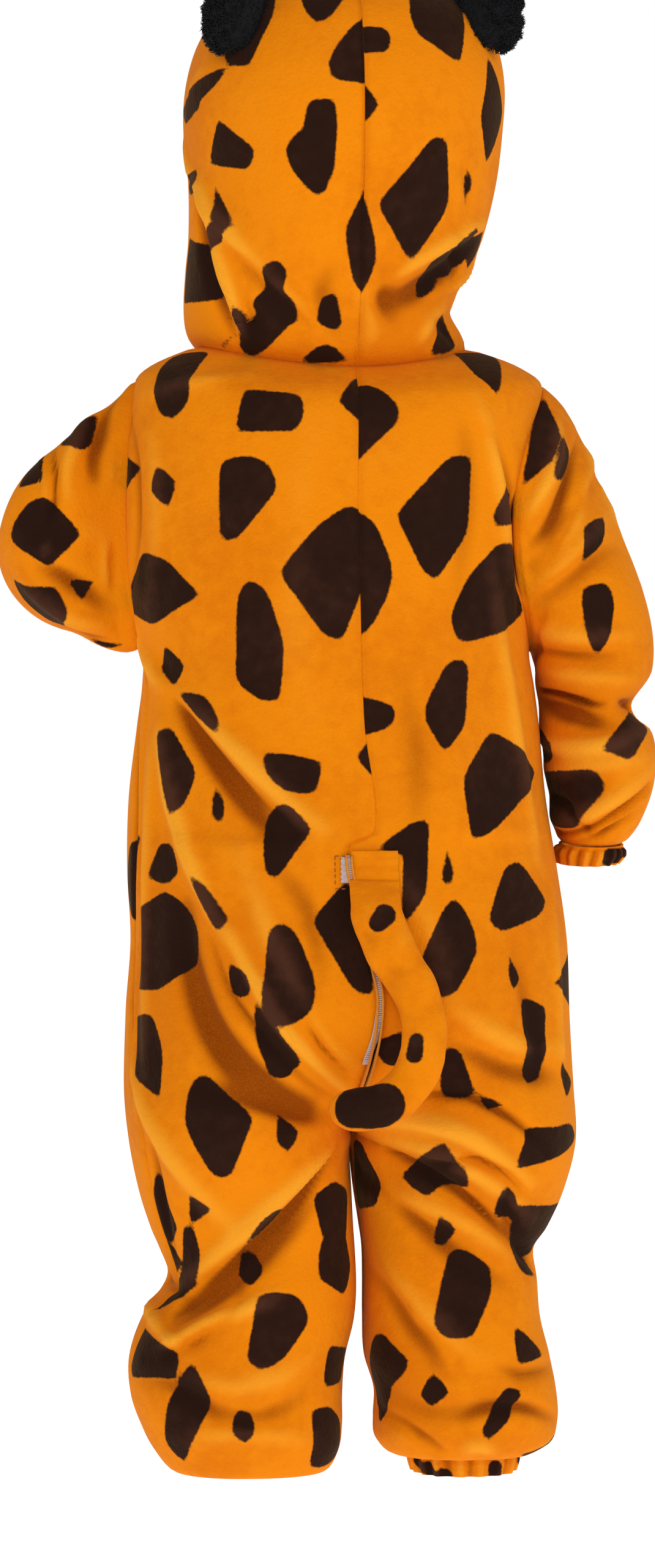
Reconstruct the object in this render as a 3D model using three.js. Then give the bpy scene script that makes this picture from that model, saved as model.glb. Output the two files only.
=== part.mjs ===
// A child's one-piece spotted cat costume in plush, worn by nobody: hood up, the wearer's left arm
// bent forwards, the right one hanging, soft legs bloused over elastic, a tail sewn beside the seat zip.
// Millimetres, +Z up, +Y is the wearer's front and +X the wearer's right. The origin is the middle of
// the neck, where the shoulders carry the garment.
import * as THREE from "three";

// Driving dimensions
const CLOTH = 2.5; // thickness of the plush, pile and all
const SEAM = 0.3; // gap between two pieces that are sewn together
const NECK_TOP = 8; // level of the neck seam at the shoulders
const NECK_DIP = { back: 16, front: 30 }; // how far the neck seam drops at the nape and under the chin
const NECK_FADE = 48; // the dip has run out this far below the neck seam
const SQUARENESS = 2.3; // exponent of the rounded sections, 2 for an ellipse
const RISE_TOP = -380; // where the two back halves begin to part for the legs
const RISE_END = -470; // level of the outer leg beside the crotch
const CROTCH = -454; // height of the crotch point
const CROTCH_FADE = 70; // the lift of the inseam has run out this far below the crotch
const ARMHOLE = { top: -12, bottom: -174, backLeft: 0.12, backRight: 0.42, front: 0.4 }; // heights, and reach round each side
const ARMHOLE_STEPS = 10; // cloth strips between the armhole's top and bottom, on each side
const PANEL_COLUMNS = 8; // strips across each of the four body panels
const FACE = { middle: 104, half: 80, reach: 0.6 }; // the hood's face opening: level, half height, width
const FACE_STEPS = 10; // cloth strips between the chin and the forehead
const GATHERS = { wrist: 16, ankle: 18 }; // gathers of the elastic hems
const TAIL_OFF = 3.6; // how far the hanging tail stands off the seat

const table = (names, rows) => {
  const keys = names.split(" ");
  return rows.map((row) => Object.fromEntries(keys.map((key, i) => [key, row[i]])));
};
const smooth = (t) => {
  const c = Math.min(1, Math.max(0, t));
  return c * c * (3 - 2 * c);
};
const mix = (a, b, t) => a + (b - a) * t;
const V = (x, y, z) => new THREE.Vector3(x, y, z);

// A smooth curve through one column of a table, as a cubic between each two rows.
function column(rows, along, name) {
  const sorted = [...rows].sort((a, b) => a[along] - b[along]);
  const x = sorted.map((r) => r[along]);
  const y = sorted.map((r) => r[name]);
  const slope = x.map((_, i) => {
    const a = Math.max(0, i - 1);
    const b = Math.min(x.length - 1, i + 1);
    return (y[b] - y[a]) / (x[b] - x[a]);
  });
  return (at) => {
    const p = Math.min(x[x.length - 1], Math.max(x[0], at));
    let i = 0;
    while (i < x.length - 2 && p > x[i + 1]) i += 1;
    const h = x[i + 1] - x[i];
    const t = (p - x[i]) / h;
    const s = 1 - t;
    return (
      y[i] * s * s * (1 + 2 * t) +
      y[i + 1] * t * t * (3 - 2 * t) +
      slope[i] * h * t * s * s -
      slope[i + 1] * h * t * t * s
    );
  };
}
const columns = (rows, along, names) =>
  Object.fromEntries(names.split(" ").map((name) => [name, column(rows, along, name)]));

// Half widths and half depths of the trunk at each level: left and right are the wearer's.
const trunk = columns(
  table("level left right back front", [
    [8, 90, 73, 60, 56],
    [0, 110, 97, 69, 65],
    [-6, 121, 109, 75, 72],
    [-12, 127, 117, 80, 78],
    [-24, 130, 120, 86, 84],
    [-50, 134, 118, 92, 91],
    [-95, 136, 115, 96, 97],
    [-140, 133, 112, 98, 101],
    [-176, 123, 110, 99, 103],
    [-196, 123, 113, 100, 104.5],
    [-220, 126, 116, 101, 106],
    [-263, 131, 120, 104, 108],
    [-306, 132, 127, 107, 108],
    [-349, 130, 133, 110, 106],
    [-392, 133, 134.5, 112, 102],
    [-436, 134, 136.5, 109, 96],
    [-470, 131, 138, 104, 92],
  ]),
  "level",
  "left right back front",
);

// The legs: height, the inner and outer sides and the back and front reach from the middle plane.
const LEG_COLUMNS = "level z inner outer back front";
const legLeft = columns(
  table(LEG_COLUMNS, [
    [-380, -380, 0, 131, 108, 96],
    [-436, -436, 0, 134, 100, 88],
    [-470, -470, 0.4, 131, 90, 78],
    [-500, -500, -2, 125, 76, 68],
    [-522, -522, -3.5, 118, 69, 62],
    [-534, -534, -4.5, 113, 66, 60],
    [-552, -552, -5.5, 108, 68, 62],
    [-576, -576, -4, 123, 70, 62],
    [-600, -600, 1.5, 131, 68, 60],
    [-620, -622, 3, 130, 65, 57],
    [-636, -640, 3, 124, 61, 53],
    [-648, -655, 5, 116, 54, 46],
    [-656, -667, 12, 105, 44, 37],
    [-663, -664, 24, 92, 33, 28],
  ]),
  "level",
  "z inner outer back front",
);
const legRight = columns(
  table(LEG_COLUMNS, [
    [-380, -380, 0, 133, 108, 96],
    [-436, -436, 0, 136.5, 100, 88],
    [-470, -470, 1, 138, 90, 78],
    [-500, -500, 4, 131, 76, 68],
    [-522, -522, 8, 121, 69, 62],
    [-534, -534, 10, 113, 67, 60],
    [-552, -552, 10.5, 115, 66, 60],
    [-576, -576, 10.5, 117, 66, 60],
    [-600, -600, 11.5, 123, 66, 60],
    [-620, -621, 17.5, 127, 64, 58],
    [-636, -638, 17, 128, 60, 54],
    [-648, -650, 18, 124, 53, 46],
    [-656, -658, 26, 114, 44, 37],
    [-663, -656, 38, 105, 34, 29],
  ]),
  "level",
  "z inner outer back front",
);
const LEG_END = -663;
const legs = (side) => (side < 0 ? legLeft : legRight);

// Where the centre back seam wanders to, and the jog it makes above the seat zip.
const backSeam = column(
  table("level x", [
    [8, -1],
    [-85, -3],
    [-150, -2],
    [-220, 0],
    [-283, 5.5],
    [-291, -9.5],
    [-330, -4],
    [-366, 5],
    [-380, 7.5],
    [-400, 5.5],
    [-418, 1],
    [-440, -3],
    [-454, -2],
    [-480, 0],
  ]),
  "level",
  "x",
);

// How far the left side seam is pulled to the back, as a share of the way from the side to the middle.
const sideSeam = column(
  table("level turn", [
    [-174, 0],
    [-200, -0.14],
    [-240, -0.19],
    [-300, -0.22],
    [-360, -0.2],
    [-430, -0.16],
    [-500, -0.15],
    [-550, -0.12],
    [-600, -0.05],
    [-640, 0],
    [-670, 0],
  ]),
  "level",
  "turn",
);

// Radius factor of a rounded section at an angle from its side.
const rounded = (angle) =>
  (Math.abs(Math.cos(angle)) ** SQUARENESS + Math.abs(Math.sin(angle)) ** SQUARENESS) ** (-1 / SQUARENESS);
// Height of the neck seam at a turn of -1 at the nape, 0 at the shoulder and 1 under the chin.
const neckHeight = (turn) => NECK_TOP - (turn < 0 ? NECK_DIP.back : NECK_DIP.front) * Math.sin((turn * Math.PI) / 2) ** 2;

// The largest folds: a bent line from start over bend to end, as seen from behind or in front.
const FOLDS = table("face x0 z0 x1 z1 x2 z2 width height", [
  ["back", -124, -166, -92, -226, -24, -284, 13, 5],
  ["back", -112, -192, -90, -240, -50, -290, 13, -7],
  ["back", -112, -226, -84, -330, -8, -432, 12, 5],
  ["back", -104, -330, -88, -404, -32, -446, 14, -8],
  ["back", -122, -410, -110, -466, -68, -526, 13, 4],
  ["back", -8, -462, -52, -502, -104, -548, 11, 5],
  ["back", -12, -470, -52, -518, -108, -568, 11, -6],
  ["back", -48, -560, -80, -574, -114, -592, 12, 4],
  ["back", -4, -456, 48, -458, 98, -492, 12, 5],
  ["back", -4, -462, 54, -494, 102, -544, 11, -5],
  ["back", -2, -484, 42, -522, 84, -552, 12, -4],
  ["front", -90, -176, -60, -220, -20, -250, 15, -5],
  ["front", 90, -180, 64, -226, 20, -262, 15, -5],
  ["front", -12, -450, -60, -482, -112, -530, 15, -7],
  ["front", 12, -450, 60, -482, 112, -530, 15, -7],
  ["back", -90, 137, -82, 66, -70, 12, 11, -9],
  ["back", -66, 107, -59, 63, -33, 14, 12, 5],
  ["back", 70, 78, 48, 54, 18, 33, 10, -8],
]);
const FOLD_STEPS = 10;
const foldLines = FOLDS.map((f) => {
  const curve = new THREE.QuadraticBezierCurve(
    new THREE.Vector2(f.x0, f.z0),
    new THREE.Vector2(f.x1, f.z1),
    new THREE.Vector2(f.x2, f.z2),
  );
  return { ...f, points: curve.getPoints(FOLD_STEPS), towards: f.face === "back" ? -1 : 1 };
});
// How far the folds move a point out along its normal: a soft ridge or trough that fades at its ends.
function foldHeight(p, normal) {
  let sum = 0;
  for (const f of foldLines) {
    const facing = smooth((normal.y * f.towards - 0.05) / 0.5);
    let best = Infinity;
    let at = 0;
    f.points.forEach((q, i) => {
      const d = (p.x - q.x) ** 2 + (p.z - q.y) ** 2;
      if (d < best) [best, at] = [d, i / FOLD_STEPS];
    });
    const taper = Math.sin(Math.PI * Math.min(1, Math.max(0, 0.12 + 0.76 * at)));
    sum += f.height * Math.exp(-best / f.width ** 2) * taper * facing;
  }
  return sum;
}

// A point of the body cloth before its folds. side is -1 or 1, turn runs from -1 at the back seam or
// inseam over 0 at the side seam to 1 at the front, and level runs down the cloth.
function smoothBody(side, turn, level) {
  const half = (turn * Math.PI) / 2;
  const around = turn * Math.PI;
  const r = rounded(half);
  const width = side < 0 ? trunk.left(level) : trunk.right(level);
  const depth = turn < 0 ? trunk.back(level) : trunk.front(level);
  const leg = legs(side);
  const q = rounded(around);
  const inner = leg.inner(level);
  const outer = leg.outer(level);
  const reach = Math.sin(around) < 0 ? leg.back(level) : leg.front(level);
  const drop = (RISE_TOP - level) / (RISE_TOP - RISE_END);
  const parted = smooth(drop);
  const x = mix(width * r * Math.cos(half), (inner + outer) / 2 + ((outer - inner) / 2) * q * Math.cos(around), parted);
  const y = mix(depth * r * Math.sin(half), reach * q * Math.sin(around), parted);
  let z = level;
  if (level > NECK_TOP - NECK_FADE) {
    z += (neckHeight(turn) - NECK_TOP) * (1 - smooth((NECK_TOP - level) / NECK_FADE));
  }
  const towardsSeam = Math.abs(turn) ** 3;
  if (drop > 0 && drop < 1) {
    const seamHeight = CROTCH + (RISE_TOP - CROTCH) * (1 - Math.sqrt(Math.max(0, parted * (2 - parted))));
    z += towardsSeam * (seamHeight - level);
  } else if (drop >= 1) {
    z = leg.z(level) + towardsSeam * (CROTCH - RISE_END) * (1 - smooth((RISE_END - level) / CROTCH_FADE));
  }
  const centred = Math.max(0, -y / trunk.back(level)) ** 2 * Math.max(0, 1 - (x / width) ** 2);
  return V(side * (x + SEAM / 2) + backSeam(level) * centred, y, z);
}

// Outward normal of a surface function at (a, b), from small steps along it.
function normalOf(surface, a, b, stepA, stepB) {
  const across = surface(a + stepA, b).sub(surface(a - stepA, b));
  const down = surface(a, b + stepB).sub(surface(a, b - stepB));
  return across.cross(down).normalize();
}
const bodyNormal = (side, turn, level) => {
  const n = normalOf((a, b) => smoothBody(side, a, b), turn, level, 0.01, 0.8);
  return side < 0 ? n.negate() : n;
};
function body(side, turn, level) {
  const p = smoothBody(side, turn, level);
  const n = bodyNormal(side, turn, level);
  const onSeam = Math.abs(turn) > 0.999 && level > RISE_END;
  if (onSeam) n.setX(0).normalize();
  return p.addScaledVector(n, foldHeight(p, n));
}

// Levels of the armhole's steps, evenly spaced round its oval, and how far it reaches round the side.
const armMiddle = (ARMHOLE.top + ARMHOLE.bottom) / 2;
const armHalf = (ARMHOLE.top - ARMHOLE.bottom) / 2;
const armLevels = Array.from({ length: ARMHOLE_STEPS + 1 }, (_, i) => armMiddle + armHalf * Math.cos((i * Math.PI) / ARMHOLE_STEPS));
function armReach(level) {
  const t = (level - armMiddle) / armHalf;
  return Math.sqrt(Math.max(0, 1 - t * t));
}
const levels = [
  ...[8, 4, 0, -6],
  ...armLevels,
  ...[-194, -216, -240, -264, -283, -291, -297, -318, -338, -359, -380],
  ...[-399, -418, -426, -438, -454, -470, -486, -504, -520, -534, -552, -572, -592, -612, -630, -642, -650, -657],
  LEG_END,
];
const backReach = (side) => (side < 0 ? ARMHOLE.backLeft : ARMHOLE.backRight);
const edgeTurn = (side, face, level) => (face === "back" ? -backReach(side) : ARMHOLE.front) * armReach(level);
const outerTurn = (side, face, level) => (side < 0 && level < ARMHOLE.bottom ? sideSeam(level) : edgeTurn(side, face, level));

// The direction in which a wall is thick at a seam that two pieces of different slope share.
function armholeNormal(side, face, level) {
  const turn = edgeTurn(side, face, level);
  const p = body(side, turn, level);
  const out = bodyNormal(side, turn, level);
  const radial = V(0, p.y, p.z - armMiddle).normalize();
  return { p, out, radial, shared: out.clone().add(radial).normalize() };
}
function neckNormal(p) {
  return V(p.x, p.y, 0).normalize().add(V(0, 0, 0.35)).normalize();
}

// A wall between two grids of points, closed across when the cloth is a tube. Faces that shrink to
// nothing at a pole are left out, and the whole is turned to face outwards.
function wall(outer, inner, isTube = false) {
  const rows = outer.length;
  const cols = outer[0].length;
  const points = [...outer.flat(), ...inner.flat()];
  const at = (layer, r, c) => layer * rows * cols + r * cols + (c % cols);
  const faces = [];
  const quad = (a, b, c, d) => faces.push([a, b, c], [a, c, d]);
  const strips = isTube ? cols : cols - 1;
  for (let r = 0; r < rows - 1; r += 1) {
    for (let c = 0; c < strips; c += 1) {
      quad(at(0, r, c), at(0, r + 1, c), at(0, r + 1, c + 1), at(0, r, c + 1));
      quad(at(1, r, c), at(1, r, c + 1), at(1, r + 1, c + 1), at(1, r + 1, c));
    }
    if (!isTube) {
      quad(at(0, r, 0), at(1, r, 0), at(1, r + 1, 0), at(0, r + 1, 0));
      quad(at(0, r, cols - 1), at(0, r + 1, cols - 1), at(1, r + 1, cols - 1), at(1, r, cols - 1));
    }
  }
  for (let c = 0; c < strips; c += 1) {
    quad(at(0, 0, c), at(0, 0, c + 1), at(1, 0, c + 1), at(1, 0, c));
    quad(at(0, rows - 1, c), at(1, rows - 1, c), at(1, rows - 1, c + 1), at(0, rows - 1, c + 1));
  }
  return solid(points, faces);
}
// A closed body from points and faces: near-equal points become one, flat faces go, volume is positive.
function solid(points, faces) {
  const key = (p) => [p.x, p.y, p.z].map((v) => Math.round(v * 500)).join(",");
  const first = new Map();
  const same = points.map((p, i) => {
    const k = key(p);
    if (!first.has(k)) first.set(k, i);
    return first.get(k);
  });
  const kept = faces.map((f) => f.map((i) => same[i])).filter(([a, b, c]) => a !== b && b !== c && a !== c);
  const volume = kept.reduce((sum, [a, b, c]) => sum + points[a].dot(points[b].clone().cross(points[c])), 0);
  const turned = volume < 0 ? kept.map(([a, b, c]) => [a, c, b]) : kept;
  const geometry = new THREE.BufferGeometry();
  geometry.setAttribute("position", new THREE.Float32BufferAttribute(points.flatMap((p) => [p.x, p.y, p.z]), 3));
  geometry.setIndex(turned.flat());
  geometry.computeVertexNormals();
  return geometry;
}
const inwards = (grid, normals, by = CLOTH) => grid.map((row, r) => row.map((p, c) => p.clone().addScaledVector(normals[r][c], -by)));

// Colours and finishes of the real materials
const finish = (color, roughness, metalness = 0) => new THREE.MeshStandardMaterial({ color, roughness, metalness });
const plush = finish(0xe88c08, 0.95);
const blackPlush = finish(0x101010, 0.95);
const tailPlush = finish(0xea9208, 0.95);
const zipTape = finish(0xd9cdd2, 0.8);
const zipMetal = finish(0xc9c6c4, 0.35, 0.8);
const buttonPlastic = finish(0x4a2a17, 0.35);

const costume = new THREE.Group();
function add(name, geometry, material) {
  const mesh = new THREE.Mesh(geometry, material.clone());
  mesh.name = name;
  costume.add(mesh);
  return mesh;
}

// The seat zip parts the two back panels between these levels by this much on each side.
const ZIP = { top: -297, bottom: -418, part: 2.2 };
const zipPart = (level) => (level <= ZIP.top && level >= ZIP.bottom ? ZIP.part : 0);

// Four body panels, each from the neck to the ankle: half of the trunk and half of a leg.
function bodyPanel(side, face) {
  const seamTurn = face === "back" ? -1 : 1;
  const grid = [];
  const normals = [];
  for (const level of levels) {
    const edge = outerTurn(side, face, level);
    const row = [];
    const normalRow = [];
    for (let i = 0; i <= PANEL_COLUMNS; i += 1) {
      const turn = mix(seamTurn, edge, i / PANEL_COLUMNS);
      const p = body(side, turn, level);
      let n = normalOf((a, b) => body(side, a, b), Math.sign(turn || seamTurn) * Math.min(Math.abs(turn), level > RISE_END ? 0.985 : 2), level, 0.01, 0.8);
      if (side < 0) n.negate();
      if (i === 0 && level > RISE_END) n.setX(0).normalize();
      if (i === PANEL_COLUMNS && armReach(level) > 0) n = armholeNormal(side, face, level).shared;
      if (level === NECK_TOP) n = neckNormal(p);
      if (face === "back" && i === 0) p.x += side * zipPart(level);
      // The two halves of a closed leg keep a seam's gap at the side and along the inseam.
      if (i === PANEL_COLUMNS) p.y += (seamTurn * SEAM) / 2;
      if (i === 0 && level <= RISE_END) p.y += (seamTurn * SEAM) / 2;
      row.push(p);
      normalRow.push(n);
    }
    grid.push(row);
    normals.push(normalRow);
  }
  return wall(grid, inwards(grid, normals));
}
for (const [name, side] of [["left", -1], ["right", 1]]) {
  for (const face of ["back", "front"]) add(`${face}_${name}`, bodyPanel(side, face), plush);
}


// Normals of a grid of points by central differences, facing away from the given middle of each row.
function gridNormals(grid, isTube, outwards) {
  const rows = grid.length;
  const cols = grid[0].length;
  return grid.map((row, r) =>
    row.map((p, c) => {
      const left = isTube ? row[(c + cols - 1) % cols] : row[Math.max(0, c - 1)];
      const right = isTube ? row[(c + 1) % cols] : row[Math.min(cols - 1, c + 1)];
      const up = grid[Math.max(0, r - 1)][c];
      const down = grid[Math.min(rows - 1, r + 1)][c];
      return right.clone().sub(left).cross(down.clone().sub(up)).normalize().multiplyScalar(outwards);
    }),
  );
}

// The sleeves: the outer and inner line of each ring along the arm and half of its depth.
const SLEEVE_COLUMNS = "along ox oy oz ix iy iz half";
const SLEEVE_NAMES = "ox oy oz ix iy iz half";
const sleeveLeft = table(SLEEVE_COLUMNS, [
  [0, -130, 0, -12, -124, 0, -174, 60],
  [0.1, -147, 3, -28, -133, 7, -176, 55],
  [0.2, -168, 6, -47, -139, 18, -173, 51],
  [0.3, -190, 14, -67, -141, 34, -162, 43],
  [0.4, -200, 25, -87, -137, 49, -152, 38],
  [0.5, -200, 44, -98, -132, 66, -145, 35],
  [0.6, -195, 68, -105, -127, 86, -136, 35],
  [0.7, -187, 94, -110, -117, 103, -124, 38],
  [0.8, -175, 120, -110, -107, 122, -115, 36],
  [0.9, -162, 142, -108, -104.5, 140, -109, 31],
  [1, -153, 156, -107, -107, 153, -107, 24],
]);
const sleeveRight = table(SLEEVE_COLUMNS, [
  [0, 117, 0, -12, 110, 0, -174, 60],
  [0.1, 131, -1, -27, 115, -2, -177, 59],
  [0.2, 147, -2, -60, 115, -4, -183, 57],
  [0.32, 165, -4, -104, 115, -7, -190, 53],
  [0.44, 183, -6, -150, 115.5, -9, -199, 49],
  [0.54, 185, -8, -186, 117, -11, -209, 46],
  [0.61, 172, -9, -208, 118.2, -11, -219, 43],
  [0.69, 186, -9, -230, 119.5, -11, -234, 45],
  [0.79, 186, -9, -254, 122, -10, -256, 43],
  [0.9, 178, -8, -277, 125.5, -9, -277, 37],
  [1, 168, -7, -291, 129.5, -8, -291, 28],
]);
const SLEEVE_ROWS = 18;
const SLEEVE_BLEND = 0.3;

// The armhole's loop of points from its top down the back and up the front, with seam directions.
function armholeLoop(side) {
  const down = armLevels.map((level) => armholeNormal(side, "back", level));
  const up = armLevels.slice(1, -1).reverse().map((level) => armholeNormal(side, "front", level));
  return [...down, ...up].map(({ p, out, radial, shared }, k) => {
    const towards = out.clone().sub(radial).normalize();
    return { point: p.clone().addScaledVector(towards, SEAM), shared };
  });
}
function sleeve(side, rings) {
  const line = columns(rings, "along", SLEEVE_NAMES);
  const at = (w) => {
    const outer = V(line.ox(w), line.oy(w), line.oz(w));
    const inner = V(line.ix(w), line.iy(w), line.iz(w));
    return { middle: outer.clone().add(inner).multiplyScalar(0.5), reach: outer.clone().sub(inner).multiplyScalar(0.5) };
  };
  const ring = (w, k, count) => {
    const { middle, reach } = at(w);
    const ahead = at(Math.min(1, w + 0.03)).middle.sub(at(Math.max(0, w - 0.03)).middle);
    const back = reach.clone().cross(ahead).normalize().multiplyScalar(-side * line.half(w));
    const angle = (2 * Math.PI * k) / count;
    return middle.addScaledVector(reach, Math.cos(angle)).addScaledVector(back, Math.sin(angle));
  };
  const loop = armholeLoop(side);
  const count = loop.length;
  const grid = Array.from({ length: SLEEVE_ROWS + 1 }, (_, r) => {
    const w = r / SLEEVE_ROWS;
    const fade = 1 - smooth(w / SLEEVE_BLEND);
    return loop.map(({ point }, k) => {
      const start = point.clone().sub(ring(0, k, count));
      return ring(w, k, count).addScaledVector(start, fade);
    });
  });
  const normals = gridNormals(grid, true, side < 0 ? -1 : 1);
  normals[0] = loop.map(({ shared }) => shared);
  return { grid, normals };
}

// A gathered hem over elastic that goes on from the last ring of a sleeve or leg.
function gatheredHem(ring, along, gathers, lengths, squeezes) {
  const count = gathers * 2;
  const middle = ring.reduce((sum, p) => sum.add(p), V(0, 0, 0)).divideScalar(ring.length);
  const start = Array.from({ length: count }, (_, j) => {
    const at = (j * ring.length) / count;
    const i = Math.floor(at + 1e-9);
    return ring[i % ring.length].clone().lerp(ring[(i + 1) % ring.length], at - i);
  });
  const grid = lengths.map((length, r) =>
    start.map((p, j) => {
      const radial = p.clone().sub(middle);
      radial.addScaledVector(along, -radial.dot(along));
      const wave = r === 0 ? 0 : j % 2 === 0 ? 1.3 : -1.3;
      const size = radial.length() * squeezes[r] + wave;
      return p.clone().sub(radial).addScaledVector(along, length).addScaledVector(radial.normalize(), size);
    }),
  );
  const normals = grid.map(() =>
    start.map((p) => {
      const radial = p.clone().sub(middle);
      return radial.addScaledVector(along, -radial.dot(along)).normalize();
    }),
  );
  return wall(grid, inwards(grid, normals, 2), true);
}

for (const [name, side, rings] of [["left", -1, sleeveLeft], ["right", 1, sleeveRight]]) {
  const { grid, normals } = sleeve(side, rings);
  const inner = inwards(grid, normals);
  add(`sleeve_${name}`, wall(grid, inner, true), plush);
  const last = grid[grid.length - 1];
  const before = grid[grid.length - 2];
  const centre = (row) => row.reduce((sum, p) => sum.add(p), V(0, 0, 0)).divideScalar(row.length);
  const along = centre(last).sub(centre(before)).normalize();
  const start = last.map((p) => p.clone().addScaledVector(along, SEAM + 0.1));
  add(`wrist_${name}`, gatheredHem(start, along, GATHERS.wrist, [0, 6, 12], [1, 1.05, 0.94]), plush);
}

// The ankles, gathered like the wrists, hang out of the bloused ends of the legs.
for (const [name, side, drop, swell] of [["left", -1, 3, 0.93], ["right", 1, 14, 0.99]]) {
  const ring = [];
  for (let i = 0; i < 2 * PANEL_COLUMNS; i += 1) ring.push(body(side, -1 + i / PANEL_COLUMNS, LEG_END));
  for (let i = 0; i < 2 * PANEL_COLUMNS; i += 1) ring.push(body(side, 1 - i / PANEL_COLUMNS, LEG_END));
  const full = ring.slice(0, 2 * PANEL_COLUMNS);
  const middle = full.reduce((sum, p) => sum.add(p), V(0, 0, 0)).divideScalar(full.length);
  const start = full.map((p) => {
    const radial = p.clone().sub(middle).setZ(0);
    return p.clone().addScaledVector(radial.normalize(), -SEAM - 0.1).setZ(middle.z + 2);
  });
  add(`ankle_${name}`, gatheredHem(start, V(0, 0, -1), GATHERS.ankle, [0, drop * 0.5 + 2, drop + 2], [1, swell, swell - 0.04]), plush);
}

// The hood: half widths and half depths at each level over the neck seam.
const HOOD_TOP = 236.5;
const hoodTable = table("level left right back front", [
  [8, 90, 73, 60, 56],
  [16, 96, 69, 68, 64],
  [30, 98, 62, 77, 74],
  [52, 97, 73, 88, 85],
  [74, 95, 82, 94, 91],
  [107, 95, 90, 100, 97],
  [141, 98, 94, 102, 98],
  [163, 97, 95, 99, 94],
  [184, 92, 92, 91, 85],
  [198, 85, 86, 84, 77],
  [211, 75, 76, 73, 66],
  [220, 64, 65, 62, 55],
  [228, 48, 49, 47, 41],
  [233, 31, 32, 30, 26],
  [235.6, 16, 17, 16, 13],
  [HOOD_TOP, 0, 0, 0, 0],
]);
const hoodShape = columns(hoodTable, "level", "left right back front");
function faceReach(level) {
  const t = (level - FACE.middle) / FACE.half;
  return FACE.reach * Math.sqrt(Math.max(0, 1 - t * t));
}
function smoothHood(side, turn, level) {
  const half = (turn * Math.PI) / 2;
  const r = rounded(half);
  const width = side < 0 ? hoodShape.left(level) : hoodShape.right(level);
  const depth = turn < 0 ? hoodShape.back(level) : hoodShape.front(level);
  const fade = 1 - smooth((level - NECK_TOP) / NECK_FADE);
  const z = level + (neckHeight(turn) - NECK_TOP) * fade;
  return V(side * (width * r * Math.cos(half) + SEAM / 2), depth * r * Math.sin(half), z);
}
const hoodNormal = (side, turn, level) => {
  const safe = Math.min(HOOD_TOP - 0.6, level);
  const n = normalOf((a, b) => smoothHood(side, a, b), turn, safe, 0.01, 0.5);
  return side < 0 ? n.negate() : n;
};
const hoodOut = (side, turn, level) => {
  const n = hoodNormal(side, Math.max(-0.985, Math.min(0.985, turn)), level);
  if (level > HOOD_TOP - 0.1) n.set(0, 0, 1);
  if (Math.abs(turn) > 0.999) n.setX(0).normalize();
  return n;
};
const hood = (side, turn, level) => {
  const p = smoothHood(side, turn, level);
  const n = hoodOut(side, turn, level);
  const fade = smooth((level - NECK_TOP) / 12) * smooth((HOOD_TOP - 2 - level) / 20);
  return p.addScaledVector(n, foldHeight(p, n) * fade);
};
const faceLevels = Array.from(
  { length: FACE_STEPS + 1 },
  (_, i) => FACE.middle - FACE.half * Math.cos((i * Math.PI) / FACE_STEPS),
);
const hoodLevels = [8, 15, ...faceLevels, 196, 206, 215, 223, 229, 233, 235.6, HOOD_TOP];
function hoodHalf(side) {
  const grid = [];
  const normals = [];
  for (const level of hoodLevels) {
    const edge = 1 - faceReach(level);
    const row = [];
    const normalRow = [];
    for (let i = 0; i <= 2 * PANEL_COLUMNS; i += 1) {
      const turn = mix(-1, edge, i / (2 * PANEL_COLUMNS));
      const p = hood(side, turn, level);
      const n = level === NECK_TOP ? neckNormal(body(side, turn, NECK_TOP)) : hoodOut(side, turn, level);
      if (level === NECK_TOP) {
        p.copy(body(side, turn, NECK_TOP));
        const away = V(0, 0, 1).addScaledVector(n, -n.z).normalize();
        p.addScaledVector(away, SEAM + 0.05);
      }
      row.push(p);
      normalRow.push(n);
    }
    grid.push(row);
    normals.push(normalRow);
  }
  return wall(grid, inwards(grid, normals));
}
for (const [name, side] of [["left", -1], ["right", 1]]) add(`hood_${name}`, hoodHalf(side), plush);

// Moves a point beside the hood's crown out until it has a gap to the hood.
function clearOfHood(p, gap) {
  const width = p.x < 0 ? hoodShape.left(p.z) : hoodShape.right(p.z);
  const depth = hoodShape.back(p.z);
  const reach = (Math.abs(p.x / width) ** SQUARENESS + Math.abs(p.y / depth) ** SQUARENESS) ** (1 / SQUARENESS);
  const least = (1 + gap / Math.min(width, depth)) / reach;
  return least > 1 ? p.set(p.x * least, p.y * least, p.z) : p;
}

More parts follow.
